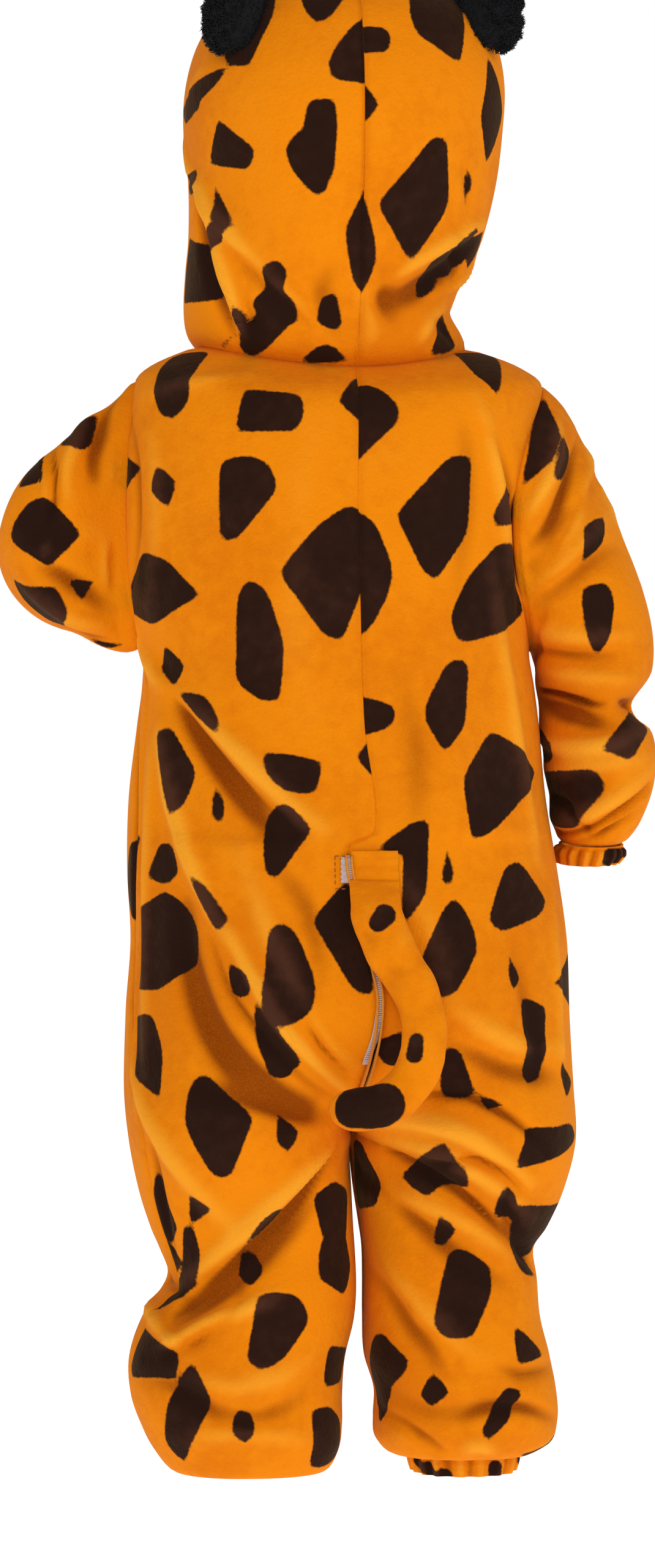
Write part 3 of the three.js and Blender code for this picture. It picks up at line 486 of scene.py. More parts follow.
def plush(name, ground, deep, pale, spot):
    """Short pile over a knitted ground. The print is the spot distance with a ragged edge as wide as the
    pile is long; the cloth and its spots are painted paler on fold crests (painted highlight) and deeper in
    the hollows (painted shade), both from the fold height."""
    made = Finish(name)

    def value(key):
        return made.node("Attribute", attribute_name=key).outputs["Fac"]

    def sums(kind, *terms):
        return made.node("Math", enumerate(terms), operation=kind).outputs[0]

    def spread(v, low, high):
        dials = {"From Min": low, "From Max": high, "Value": v}
        return made.node("MapRange", dials, interpolation_type="SMOOTHSTEP").outputs["Result"]

    def blend(share, a, b):
        a, b = ((*v, 1) if isinstance(v, tuple) else v for v in (a, b))
        return made.node("Mix", {"Factor": share, 6: a, 7: b}, data_type="RGBA").outputs[2]

    wander, tufts, fibres = made.noise(60.0), made.noise(420.0), made.noise(1300.0, 3.0)
    brushed, clouds, strokes = made.noise(24.0, 5.0), made.noise(9.0, 3.0), made.noise(130.0, 4.0)
    edge = sums("MULTIPLY_ADD", wander, 1.2, sums("ADD", value("spot"), -0.6))
    edge = sums("MULTIPLY_ADD", tufts, 1.4, sums("ADD", edge, -0.7))
    inked = spread(edge, 0.7, -0.7)
    warm = sums("MULTIPLY_ADD", clouds, 0.75, sums("MULTIPLY", strokes, 0.25))
    cloth = blend(sums("MULTIPLY", spread(warm, 0.42, 0.62), 0.42), ground, deep)
    # Painted shade: the cloth turns to half-strength deep orange where the fold height sinks into a hollow.
    cloth = blend(spread(value("nap"), -0.3, -5.0), cloth, tuple(0.5 * c for c in deep))
    # Painted highlight: brushed noise plus fold height, so the cloth turns pale tan on fold crests.
    brush_and_crest_highlight = sums("MULTIPLY_ADD", brushed, 3.4, value("nap"))
    cloth = blend(sums("MULTIPLY", spread(brush_and_crest_highlight, 1.6, 6.6), 0.85), cloth, pale)
    cloth = blend(sums("MULTIPLY", spread(fibres, 0.4, 0.75), 0.12), cloth, pale)
    # Painted highlight on the spots: the print turns a paler brown on fold crests, and along random streaks.
    streak_and_crest_highlight = spread(sums("MULTIPLY_ADD", strokes, 3.0, brush_and_crest_highlight), 2.6, 7.5)
    dark = blend(streak_and_crest_highlight, spot, tuple(3.4 * c for c in spot))
    coloured = blend(value("inside"), blend(inked, cloth, dark), KNITTED_BACK)
    made.dial(made.shader, {
        "Base Color": coloured, "Roughness": 0.9, "Specular IOR Level": 0.06, "Sheen Weight": 0.1,
        "Sheen Roughness": 0.4, "Sheen Tint": (1.0, 0.6, 0.22, 1),
    })
    pile = sums("MULTIPLY_ADD", fibres, 0.5, sums("MULTIPLY_ADD", strokes, 1.2, tufts))
    return made.relief(pile, 0.6, 0.0009)


ORANGE = (0.80, 0.222, 0.001)
# Deep orange: random deeper patches in the cloth, and at half strength the painted shade in fold hollows.
DEEP_ORANGE = (0.56, 0.105, 0.0)
# Pale tan: random fibre tips, and the painted highlight on fold crests.
TIP_AND_HIGHLIGHT_TAN = (0.88, 0.35, 0.02)
DARK_BROWN = (0.019, 0.0065, 0.0035)
KNITTED_BACK = (0.62, 0.24, 0.03)
printed = plush("printed_plush", ORANGE, DEEP_ORANGE, TIP_AND_HIGHLIGHT_TAN, DARK_BROWN)


# The last turn beside a seam at which the smooth surface still has a slope of its own
NEAR_SEAM = 0.985


def neck_normal(side, turn):
    """The way both cloths of the neck seam roll in: half way between the shoulder's outward normal there
    and level outwards."""
    top = np.full(np.shape(turn), NECK_TOP)
    n = slope_normal(body_cloth, side, turn, top, 0, 1)
    away = unit(body_cloth(side, turn, top) * [1, 1, 0])
    return unit(n * np.sign((n * away).sum(-1, keepdims=True)) + away)


levels = np.concatenate([
    np.linspace(NECK_TOP, ARM_TOP, 9)[:-1],
    (ARM_TOP + ARM_BOTTOM) / 2 + (ARM_TOP - ARM_BOTTOM) / 2 * np.cos(np.linspace(0, np.pi, 51)),
    np.linspace(ARM_BOTTOM, ZIP_TOP + 0.6, 42)[1:],
    np.linspace(ZIP_TOP, ZIP_BOTTOM, 36),
    np.linspace(ZIP_BOTTOM - 0.6, -620, 70),
    np.linspace(-620, LEG_END, 26)[1:],
])
COLUMNS = 84
even = np.linspace(0, 1, COLUMNS + 1)
# Columns lie closer together along the seams, where the pile rolls in
columns = even - 0.6 * np.sin(2 * np.pi * even) / (2 * np.pi)


def body_panel(side, face):
    """Grid of one panel's outer points: from its middle seam to the side seam or armhole at every level."""
    level, t = np.meshgrid(levels, columns, indexing="ij")
    outer = face * ARM_REACH[side, face] * arm_reach(level)
    if side < 0:
        outer = np.where(level < ARM_BOTTOM, through(LEFT_SIDE_SEAM, level)[0], outer)
    turn = face * (1 - t) + outer * t
    grid = body_cloth(side, turn, level)
    inside_zip = (level <= ZIP_TOP) & (level >= ZIP_BOTTOM) & (t == 0) & (face < 0)
    grid[..., 0] += side * ZIP_PART * inside_zip
    grid[:, -1, 1] += face * SEAM / 2
    grid[:, 0, 1] += np.where(levels <= RISE_END, face * SEAM / 2, 0)
    return grid


# x0 z0 x1 z1 x2 z2 width height, then 1 for a crease in front
BODY_CREASES = [
    (-136, -160, -82, -222, -14, -284, 7, 6.5), (-112, -186, -82, -236, -42, -290, 7.5, -8.5),
    (-104, -205, -76, -240, -30, -286, 3, -3), (-112, -222, -98, -290, -70, -350, 6, 6),
    (-70, -345, -42, -396, 2, -440, 4.5, 6.5), (-98, -330, -80, -408, -22, -452, 9, -10),
    (-82, -344, -56, -402, -6, -446, 3, -4), (-26, -398, -14, -416, 3, -432, 2.4, -3.5),
    (-20, -396, -7, -412, 8, -428, 3, 2.5), (-124, -186, -128, -300, -130, -440, 4, -4.5),
    (-117, -230, -120, -320, -121, -430, 6, 3.5), (-118, -470, -112, -505, -104, -540, 4.5, -4),
    (-90, -436, -50, -448, -10, -458, 7, -5), (-130, -410, -112, -470, -60, -530, 7.5, 4.5),
    (-4, -474, -44, -524, -104, -574, 3.5, -8), (2, -466, -48, -512, -100, -560, 5.5, 6),
    (-18, -506, -58, -548, -108, -584, 7.5, -6), (-40, -565, -76, -578, -112, -598, 5.5, 6),
    (-62, -566, -88, -590, -122, -604, 4, -4.5), (-126, -560, -112, -584, -94, -600, 4.5, 4.5),
    (-124, -546, -108, -556, -94, -570, 4, -3.5), (-20, -618, -58, -640, -98, -622, 7, -3.5),
    (-20, -600, -58, -618, -96, -612, 7, 3), (-126, -616, -100, -622, -82, -636, 5.5, -3.5),
    (-100, -652, -60, -646, -20, -654, 7, 3), (6, -462, 60, -462, 112, -498, 6, 6),
    (40, -444, 84, -448, 122, -478, 3, -6), (4, -466, 66, -500, 118, -552, 3.5, -7),
    (20, -470, 66, -482, 112, -516, 6, 5), (8, -488, 54, -530, 98, -560, 7, -4.5),
    (12, -505, 60, -514, 100, -540, 7, 3.5), (52, -486, 84, -484, 108, -504, 3, -5),
    (96, -500, 98, -518, 110, -540, 4, -4.5), (14, -548, 40, -584, 60, -612, 7, -4),
    (20, -534, 48, -574, 84, -604, 7, 3), (90, -606, 112, -612, 126, -606, 4.5, -3.5),
    (70, -640, 100, -632, 127, -640, 4.5, -5), (30, -646, 74, -654, 124, -650, 5.5, 4),
    (20, -632, 44, -648, 60, -660, 4, -3.5), (24, -620, 58, -636, 100, -620, 7, -2.5),
    (86, -120, 100, -210, 116, -300, 7, 3.5), (78, -20, 92, -70, 98, -130, 6, 4),
    (84, -40, 103, -90, 104, -160, 4, -3.5), (70, -30, 74, -80, 66, -150, 9, -2.5),
    (124, -310, 128, -380, 130, -430, 6, 2.5), (100, -350, 112, -400, 116, -440, 7.5, -3),
    (60, -384, 96, -410, 130, -414, 7, 3.5), (62, -410, 96, -428, 132, -430, 7, -4),
    (-60, -8, -96, -14, -124, -22, 5.5, 2.5), (-132, -30, -126, -80, -130, -140, 4.5, -3),
    (-118, -40, -114, -90, -118, -150, 7, 2.5), (-12, -20, -30, -120, -22, -240, 12, 1.5),
    (30, -180, 44, -240, 40, -290, 10.5, -2.5), (-50, -300, -24, -330, -14, -380, 7.5, -3),
    (-62, -300, -44, -350, -20, -398, 7, 3), (20, -300, 50, -340, 62, -390, 9, 2.5),
    (-90, -190, -56, -228, -16, -262, 10, -6, 1), (-84, -210, -50, -250, -10, -280, 8, 4, 1),
    (92, -190, 58, -232, 16, -266, 10, -6, 1), (86, -214, 52, -254, 8, -286, 8, 4, 1),
    (-10, -452, -58, -486, -112, -534, 8, -7, 1), (-8, -440, -60, -470, -118, -512, 8, 5, 1),
    (10, -452, 60, -484, 114, -532, 8, -7, 1), (8, -440, 60, -468, 118, -510, 8, 5, 1),
    (-18, -480, -60, -530, -104, -572, 8, -4, 1), (18, -482, 62, -534, 104, -580, 8, -4, 1),
    (-110, -596, -70, -606, -20, -592, 9, 4, 1), (-112, -620, -64, -632, -16, -620, 8, -4, 1),
    (110, -604, 72, -612, 24, -600, 9, 4, 1), (114, -626, 70, -636, 26, -624, 8, -4, 1),
    (-60, -60, -74, -120, -70, -170, 10, -3, 1), (62, -56, 76, -116, 72, -170, 10, -3, 1),
    (-100, -300, -70, -350, -20, -400, 10, 4, 1), (100, -310, 66, -356, 20, -404, 10, 4, 1),
    (-104, -330, -72, -376, -24, -424, 8, -4, 1), (106, -336, 70, -384, 22, -428, 8, -4, 1),
    (-30, -40, -34, -90, -26, -140, 9, 2, 1), (30, -300, 24, -360, 10, -420, 8, -3, 1),
    (-30, -300, -26, -350, -10, -410, 8, -3, 1),
]
# Each spot: x z of its corners in turn, by where they show
BACK_LEFT_SPOTS = [
    (-108, 5, -82, 5, -96, -26, -106, -34, -117, -28, -115, -10),
    (-60, -16, -28, -21, -25, -31, -31, -40, -66, -41), (-141, -54, -126, -62, -136, -82),
    (-114, -62, -102, -74, -106, -86, -117, -78),
    (-76, -60, -62, -56, -48, -59, -42, -74, -66, -109, -76, -108),
    (-122, -117, -108, -118, -88, -141, -116, -159, -130, -152, -132, -140),
    (-40, -129, -16, -97, 2, -88, 14, -90, 14, -128, -3, -168, -13, -167),
    (-66, -140, -58, -132, -48, -136, -36, -170, -40, -205, -52, -206, -66, -192),
    (-110, -171, -98, -184, -103, -195, -112, -186), (-101, -198, -84, -202, -74, -216, -75, -227),
    (-113, -223, -105, -222, -91, -247, -92, -258, -102, -277),
    (-80, -256, -71, -270, -75, -280, -82, -276),
    (-49, -236, -38, -237, -13, -243, -18, -260, -36, -260, -48, -247),
    (-50, -276, -42, -266, -34, -268, -21, -281, -42, -313, -50, -311),
    (-112, -290, -104, -291, -100, -308, -108, -315, -118, -311),
    (-92, -309, -85, -312, -70, -339, -78, -347, -84, -336),
    (-124, -333, -110, -321, -99, -326, -91, -346, -92, -362, -112, -381, -131, -379),
    (-71, -365, -59, -371, -56, -380, -63, -386, -69, -380),
    (-46, -342, -38, -338, -31, -342, -19, -376, -20, -390, -31, -399, -48, -399, -51, -382),
    (-54, -387, -27, -424, -34, -434, -45, -433, -57, -404),
    (-130, -396, -117, -393, -111, -416, -112, -446, -126, -432),
    (1, -314, -21, -340, -4, -366, 6, -381, 17, -381, 12, -340),
    (-95, -435, -86, -431, -55, -455, -71, -493, -79, -494, -97, -462),
    (-41, -455, -28, -465, -34, -477, -43, -471), (-93, -501, -81, -512, -94, -521),
    (-116, -488, -112, -496, -102, -524, -107, -533, -118, -512), (-114, -531, -99, -544, -105, -552),
    (-98, -523, -93, -523, -86, -552, -96, -560, -99, -545),
    (-97, -545, -88, -558, -120, -577, -112, -558), (-53, -517, -42, -509, -36, -512, -66, -541),
    (-18, -504, -8, -496, 1, -502, 0, -530, -14, -530),
    (-14, -528, 0, -528, 3, -545, -2, -564, -16, -553, -17, -545),
    (-64, -541, -54, -540, -50, -549, -57, -559, -66, -552),
    (-55, -564, -44, -560, -30, -564, -22, -578, -38, -604, -50, -610, -60, -604),
    (-127, -580, -101, -600, -103, -615, -129, -613, -134, -598),
    (-92, -604, -87, -610, -80, -628, -97, -665, -109, -653, -107, -626),
    (-10, -596, 0, -596, -4, -615, -13, -618), (-66, -635, -57, -635, -53, -644, -62, -654, -69, -645),
    (-22, -634, -10, -631, -3, -641, -6, -659, -14, -667, -23, -667), (11, -5, -2, -17, -5, -25, 11, -38),
    (20, -222, 6, -240, 20, -256),
]
BACK_RIGHT_SPOTS = [
    (1, -13, 18, -15, 33, -28, 33, -37, 18, -52, 3, -66), (65, 6, 90, 2, 95, -6, 92, -21, 78, -9),
    (62, -59, 77, -57, 75, -103, 54, -133, 46, -129, 30, -92),
    (95, -76, 102, -77, 106, -96, 98, -102, 87, -101),
    (1, -87, 18, -95, 29, -126, 27, -140, 14, -162, 2, -170),
    (92, -109, 103, -111, 110, -135, 109, -150, 85, -168, 68, -169, 64, -155, 74, -130),
    (62, -180, 74, -180, 73, -222, 60, -235, 46, -215, 48, -204),
    (5, -203, 29, -208, 31, -217, 22, -225, 6, -226),
    (86, -223, 92, -224, 114, -249, 80, -289, 75, -287, 71, -253),
    (38, -278, 50, -275, 49, -322, 34, -343, 34, -300), (18, -296, 40, -278, 44, -292, 36, -300),
    (62, -291, 67, -310, 64, -317, 59, -316),
    (96, -304, 104, -302, 121, -327, 118, -335, 94, -346, 86, -339),
    (60, -326, 66, -322, 77, -339, 81, -357, 66, -383, 57, -384, 44, -362),
    (99, -358, 107, -372, 103, -381, 98, -372), (135, -357, 137, -390, 124, -377),
    (107, -383, 120, -391, 120, -434, 109, -436), (60, -416, 71, -417, 78, -444, 58, -444),
    (79, -443, 94, -448, 84, -452), (129, -422, 137, -436, 133, -445),
    (16, -411, 35, -403, 36, -425, 24, -424), (110, -462, 136, -461, 139, -471, 128, -481, 101, -490),
    (50, -473, 62, -469, 70, -484, 52, -503, 34, -492), (60, -484, 72, -484, 75, -499, 56, -500),
    (93, -496, 101, -500, 104, -518, 91, -519), (104, -509, 129, -507, 120, -530, 111, -542, 101, -528),
    (5, -470, 10, -473, 20, -494, 19, -509, 8, -511, 5, -500), (57, -514, 68, -525, 58, -535, 53, -532),
    (102, -529, 109, -535, 114, -551, 106, -551, 100, -540),
    (60, -540, 72, -537, 88, -548, 90, -560, 76, -589, 60, -590, 54, -580, 57, -550),
    (101, -583, 106, -584, 119, -600, 105, -605),
    (17, -587, 22, -588, 38, -604, 36, -610, 25, -622, 17, -620), (17, -618, 26, -620, 21, -641),
    (53, -611, 63, -622, 52, -633, 46, -624),
    (96, -619, 107, -620, 103, -634, 87, -652, 80, -646, 90, -628),
    (128, -643, 127, -653, 105, -667, 105, -660),
]
SIDE_STRIP_SPOTS = [(-122, -285, -131, -295, -134, -322, -129, -341)]

panels = {(side, face): body_panel(side, face) for side in (-1, 1) for face in (-1, 1)}
panel_normals = {key: grid_normals(grid, False, -key[0] * key[1]) for key, grid in panels.items()}
for (side, face), n in panel_normals.items():
    middle = np.array([side * LEG_MIDDLE, 0, 0]) * (levels < RISE_END)[:, None, None]
    if (n * (panels[side, face] - middle)).sum() < 0:
        n *= -1
    n[0] = neck_normal(side, np.clip(face * (1 - columns), -NEAR_SEAM, NEAR_SEAM))
    n[:, 0, 0] = np.where(levels > RISE_END, 0, n[:, 0, 0])
    radial = unit(panels[side, face][:, -1] * [0, 1, 1] - [0, 0, (ARM_TOP + ARM_BOTTOM) / 2])
    n[:, -1] += radial * ((levels < ARM_TOP + 0.1) & (levels > ARM_BOTTOM - 0.1))[:, None]
    n /= np.linalg.norm(n, axis=-1, keepdims=True)
body = Cloth(list(panels.values()), list(panel_normals.values()))
backs = Cloth([panels[side, -1] for side in (-1, 1)], [panel_normals[side, -1] for side in (-1, 1)])
body_heights = dict(zip(panels, crease(body, list(panels.values()), BODY_CREASES)))


def seam_roll(grid, height, sides=(True, True, True, True), depth=1.5, reach=2.6):
    """How far the pile rolls in towards the seams at the first and last row and column of a grid."""
    roll = np.zeros(grid.shape[:2])
    for axis, (first, last) in ((0, sides[:2]), (1, sides[2:])):
        step = np.linalg.norm(np.diff(grid, axis=axis), axis=-1)
        start = np.zeros(grid.shape[:2])
        if axis == 0:
            start[1:] = np.cumsum(step, 0)
        else:
            start[:, 1:] = np.cumsum(step, 1)
        end = (start[-1:] if axis == 0 else start[:, -1:]) - start
        for wanted, d in ((first, start), (last, end)):
            if wanted:
                roll = np.maximum(roll, np.exp(-((d / reach) ** 2)))
    return height - depth * roll


NAMES = {-1: "left", 1: "right"}
FACES = {-1: "back", 1: "front"}
dressed = {}
for (side, face), grid in panels.items():
    cloth = Cloth([grid], [panel_normals[side, face]])
    if face < 0:
        spots = scattered(cloth, 23 + side)
        patches = patched(backs, BACK_LEFT_SPOTS if side < 0 else BACK_RIGHT_SPOTS)
    else:
        spots = scattered(cloth, 11 + side)
        patches = patched(cloth, SIDE_STRIP_SPOTS if side < 0 else [])
    height = body_heights[side, face]
    raised = grid + panel_normals[side, face] * seam_roll(grid, height)[..., None]
    name = f"{FACES[face]}_{NAMES[side]}"
    edge = printed_edge(grid, spots, patches)
    # The fold height drives the plush's painted shade in hollows and painted highlight on crests.
    piece = shell(f"cloth_{name}", raised, panel_normals[side, face], False, spot=edge, nap=height)
    piece.data.materials.append(printed)
    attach(piece, "root")
    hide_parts(name)
    dressed[name] = raised

# Sleeves
# One piece of the same plush each, closed under the arm and set into the armhole. The left one is bent
# forwards at the elbow, the right one hangs and has slumped into rolls over its elastic.
SLEEVE_COLUMNS = 100
SLEEVE_ROWS = 110
SLEEVE_BLEND = 0.3
# along ox oy oz ix iy iz half
SLEEVES = {
    -1: [
        (0, -130, 0, -12, -124, 0, -174, 60), (0.1, -147, 3, -28, -133, 7, -176, 55),
        (0.2, -168, 6, -47, -139, 18, -173, 51), (0.3, -190, 14, -67, -141, 34, -162, 43),
        (0.4, -200, 25, -87, -137, 49, -152, 38), (0.5, -200, 44, -98, -132, 66, -145, 35),
        (0.6, -195, 68, -105, -127, 86, -136, 35), (0.7, -187, 94, -110, -117, 103, -124, 38),
        (0.8, -175, 120, -110, -107, 122, -115, 36), (0.9, -162, 142, -108, -104.5, 140, -109, 31),
        (1, -153, 156, -107, -107, 153, -107, 24),
    ],
    1: [
        (0, 117, 0, -12, 110, 0, -174, 60), (0.1, 131, -1, -27, 115, -2, -177, 59),
        (0.2, 147, -2, -60, 115, -4, -183, 57), (0.32, 165, -4, -104, 115, -7, -190, 53),
        (0.44, 183, -6, -150, 115.5, -9, -199, 49), (0.54, 185, -8, -186, 117, -11, -209, 46),
        (0.61, 172, -9, -208, 118.2, -11, -219, 43), (0.69, 186, -9, -230, 119.5, -11, -234, 45),
        (0.79, 186, -9, -254, 122, -10, -256, 43), (0.9, 178, -8, -277, 125.5, -9, -277, 37),
        (1, 168, -7, -291, 129.5, -8, -291, 28),
    ],
}
SLEEVE_CREASES = {
    -1: [
        (-140, -18, -150, -46, -150, -84, 5.5, -5), (-150, -26, -166, -56, -168, -86, 5, 4),
        (-178, -50, -176, -76, -180, -96, 3, -5.5), (-184, -60, -178, -90, -182, -116, 4, 3.5),
        (-140, -60, -146, -100, -140, -150, 5.5, 3.5), (-132, -90, -141, -120, -138, -160, 3, -3),
        (-190, -120, -166, -134, -142, -150, 7, -5), (-200, -128, -176, -150, -144, -164, 6.5, 3.5),
        (-150, -100, -166, -112, -190, -118, 8, 3), (-196, -90, -170, -110, -146, -116, 7, -3.5),
        (-180, -160, -160, -166, -138, -168, 5, -3.5), (-110, -96, -150, -110, -190, -100, 9, -5, 1),
        (-110, -120, -150, -128, -190, -118, 8, 4, 1), (-120, -140, -150, -146, -180, -140, 8, -4, 1),
        (-126, -100, -140, -112, -150, -126, 6, -4, 1),
    ],
    1: [
        (112, -112, 130, -84, 140, -46, 4, -6), (110, -128, 132, -100, 150, -70, 5, -5),
        (108, -92, 124, -66, 128, -34, 5, 5), (118, -118, 138, -94, 148, -56, 5, 5),
        (112, -150, 138, -128, 166, -112, 7, -3.5), (114, -138, 136, -118, 158, -90, 6.5, 3.5),
        (110, -172, 136, -178, 168, -176, 4, -3.5), (112, -162, 138, -166, 172, -164, 6.5, 3.5),
        (114, -186, 140, -190, 176, -192, 5.5, 3), (113, -198, 134, -203, 156, -208, 2.2, -8),
        (114, -206, 134, -213, 160, -220, 6.5, -7), (116, -224, 140, -234, 184, -222, 5.5, 6),
        (120, -246, 150, -244, 184, -238, 6.5, 3.5), (120, -284, 148, -282, 184, -256, 3, -8),
        (122, -276, 150, -272, 184, -246, 6.5, 5), (126, -293, 150, -288, 178, -268, 3, -5),
        (124, -288, 150, -282, 180, -264, 4, 3.5), (166, -206, 174, -208, 186, -210, 3, -6),
        (120, -262, 134, -268, 146, -286, 3, -3.5), (150, -20, 160, -80, 178, -130, 9.5, 2.5),
        (120, -60, 130, -110, 128, -160, 9, -4, 1), (140, -50, 152, -110, 150, -170, 9, 3, 1),
        (116, -200, 150, -206, 180, -200, 5, -6, 1), (116, -222, 150, -228, 182, -222, 8, 4, 1),
        (120, -262, 150, -268, 180, -258, 5, -5, 1), (120, -276, 150, -280, 176, -272, 6, 3, 1),
    ],
}
SLEEVE_SPOTS = {
    -1: [
        (-151, -30, -154, -52, -163, -55, -176, -48, -166, -37),
        (-184, -53, -183, -74, -198, -76, -194, -64),
        (-190, -82, -178, -82, -161, -104, -180, -123, -203, -108, -200, -92),
        (-170, -131, -151, -133, -159, -146),
        (-201, -130, -176, -136, -167, -152, -172, -167, -196, -142),
        (-164, -177, -133, -171, -150, -181),
    ],
    1: [
        (110, -19, 127, -48, 124, -61, 107, -75, 103, -38), (129, -46, 137, -60, 131, -72, 123, -71),
        (142, -99, 154, -95, 157, -108, 143, -122),
        (144, -137, 157, -134, 162, -145, 158, -172, 151, -179, 146, -168, 141, -148),
        (115, -221, 129, -232, 125, -243, 116, -242), (172, -211, 181, -222, 170, -240, 153, -234),
        (120, -248, 152, -246, 158, -258, 140, -282, 123, -279),
    ],
}


def sleeve_ring(side, along, angle):
    """Points of the sleeve's rings. Each ring is an ellipse through its outer and inner line, whose other
    half width points away from the arm's direction and from the line between the two."""
    ox, oy, oz, ix, iy, iz, half = through(SLEEVES[side], along)
    outer, inner = np.stack([ox, oy, oz], -1), np.stack([ix, iy, iz], -1)
    reach = (outer - inner) / 2
    ahead = []
    for way in (0.03, -0.03):
        v = through(SLEEVES[side], np.clip(along + way, 0, 1))
        ahead.append(np.stack([v[0] + v[3], v[1] + v[4], v[2] + v[5]], -1) / 2)
    back = unit(np.cross(reach, ahead[0] - ahead[1])) * (-side * half)[..., None]
    return (outer + inner) / 2 + reach * np.cos(angle)[..., None] + back * np.sin(angle)[..., None]


def armhole_loop(side):
    """The armhole's edge from its top down the back and up the front, one seam's gap away from the panels,
    with the way that both cloths roll in there and the angle round the armhole."""
    middle, tall = (ARM_TOP + ARM_BOTTOM) / 2, (ARM_TOP - ARM_BOTTOM) / 2
    angle = 2 * np.pi * np.arange(SLEEVE_COLUMNS) / SLEEVE_COLUMNS
    level = middle + tall * np.cos(angle)
    face = np.where(angle <= np.pi, -1, 1)
    turn = face * np.where(face < 0, ARM_REACH[side, -1], ARM_REACH[side, 1]) * arm_reach(level)
    p = body_cloth(side, turn, level)
    n = slope_normal(body_cloth, side, turn, level, 0.8, 0.8)
    radial = unit(p * [0, 1, 1] - [0, 0, middle])
    return p + unit(n - radial) * SEAM, unit(n + radial), angle


def sleeve_cloth(side):
    """Grid of a sleeve's points and normals: its rings, drawn to the armhole's edge at the shoulder."""
    loop, shared, angle = armhole_loop(side)
    even = np.linspace(0, 1, SLEEVE_ROWS + 1)
    w, a = np.meshgrid(even, angle, indexing="ij")
    ring = sleeve_ring(side, w, a)
    fade = (1 - smooth(w / SLEEVE_BLEND))[..., None]
    grid = ring + (loop - ring[0])[None] * fade
    n = grid_normals(grid, True, 1)
    middle = grid.mean(1, keepdims=True)
    n *= np.sign((n * (grid - middle)).sum())
    n[0] = shared
    return grid, n


sleeve_ends = {}
for side in (-1, 1):
    grid, n = sleeve_cloth(side)
    cloth = Cloth([grid], [n])
    height = crease(cloth, [grid], SLEEVE_CREASES[side])[0]
    row = np.arange(SLEEVE_ROWS + 1)
    height = height * np.minimum(1, np.minimum(row, row[::-1]) / 8)[:, None]
    raised = grid + n * seam_roll(grid, height, (True, True, False, False))[..., None]
    edge = printed_edge(grid, scattered(cloth, 5 + side, 44.0), patched(cloth, SLEEVE_SPOTS[side]))
    # The fold height drives the plush's painted shade in hollows and painted highlight on crests.
    piece = shell(f"cloth_sleeve_{NAMES[side]}", raised, n, True, spot=edge, nap=height)
    piece.data.materials.append(printed)
    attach(piece, "root")
    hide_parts(f"sleeve_{NAMES[side]}")
    sleeve_ends[side] = grid

# Wrist and ankle hems
# The sleeve and leg ends are narrow casings of the same plush, turned in and sewn over elastic, which
# draws the cloth into many small uneven gathers.
GATHERS = {"wrist": 16, "ankle": 18}
HEM_ROWS, GATHER_COLUMNS = 22, 14
HEM_CLOTH = 2.0
# How far the gathers swell, the sewn line pinches and the middle puffs out
GATHER, PINCH, PUFF = 1.35, 0.9, 0.7
# x z radius at both ends
HEM_SPOTS = {
    ("wrist", 1): [(172, -296, 3, 160, -300, 6)], ("wrist", -1): [], ("ankle", -1): [],
    ("ankle", 1): [(44, -664, 5, 60, -674, 5), (90, -668, 4.5, 90, -675, 4), (112, -660, 3, 108, -664, 3)],
}


def gathered_hem(ring, along, gathers, lengths, squeezes, seed):
    """Grid of a hem that goes on from a ring of points. Its radius swells and shrinks in round waves, whose
    size and place differ from gather to gather. It is pinched at its sewn line, puffs out at half of its
    height and is drawn in again at its end."""
    rng = np.random.default_rng(seed)
    count = gathers * GATHER_COLUMNS
    at = np.arange(count) * len(ring) / count
    i = at.astype(int)
    t = (at - i)[:, None]
    start = ring[i % len(ring)] * (1 - t) + ring[(i + 1) % len(ring)] * t
    middle = ring.mean(0)
    v = np.linspace(0, 1, HEM_ROWS + 1)
    length = np.interp(v, [0, 0.5, 1], lengths)
    squeeze = np.interp(v, [0, 0.5, 1], squeezes)
    phase = np.cumsum(np.repeat(rng.uniform(0.7, 1.3, gathers), GATHER_COLUMNS))
    phase *= 2 * np.pi * gathers / phase[-1]
    size = np.repeat(rng.uniform(0.6, 1.25, gathers), GATHER_COLUMNS)
    size = (np.roll(size, 5) + size + np.roll(size, -5)) / 3
    swell = smooth(v / 0.25)[:, None] * (GATHER * size * np.cos(phase))[None]
    pinch = -PINCH * np.exp(-(((v - 0.12) / 0.08) ** 2)) + PUFF * np.sin(np.pi * v)
    radial = start - middle
    radial -= (radial @ along)[:, None] * along
    far = np.linalg.norm(radial, axis=1, keepdims=True)
    out = radial / far
    grid = (start - radial)[None] + along * length[:, None, None]
    grid = grid + out[None] * (far[None] * squeeze[:, None, None] + (swell + pinch[:, None])[..., None])
    return grid, np.broadcast_to(out, grid.shape), swell * 2


def add_hem(kind, side, ring, along, lengths, squeezes):
    """Makes one gathered hem on the end of a sleeve or leg."""
    grid, n, wave = gathered_hem(ring, along, GATHERS[kind], lengths, squeezes, 3 + side)
    cloth = Cloth([grid], [n])
    spots = charted(cloth, HEM_SPOTS[kind, side]) if HEM_SPOTS[kind, side] else []
    spots += scattered(cloth, 31 + side, 40.0)
    name = f"cloth_{kind}_{NAMES[side]}"
    # The gathers' wave height drives the plush's painted shade in hollows and painted highlight on crests.
    piece = shell(name, grid, n, True, HEM_CLOTH, spot=printed_edge(grid, spots), nap=wave)
    piece.data.materials.append(printed)
    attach(piece, "root")
    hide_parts(f"{kind}_{NAMES[side]}")


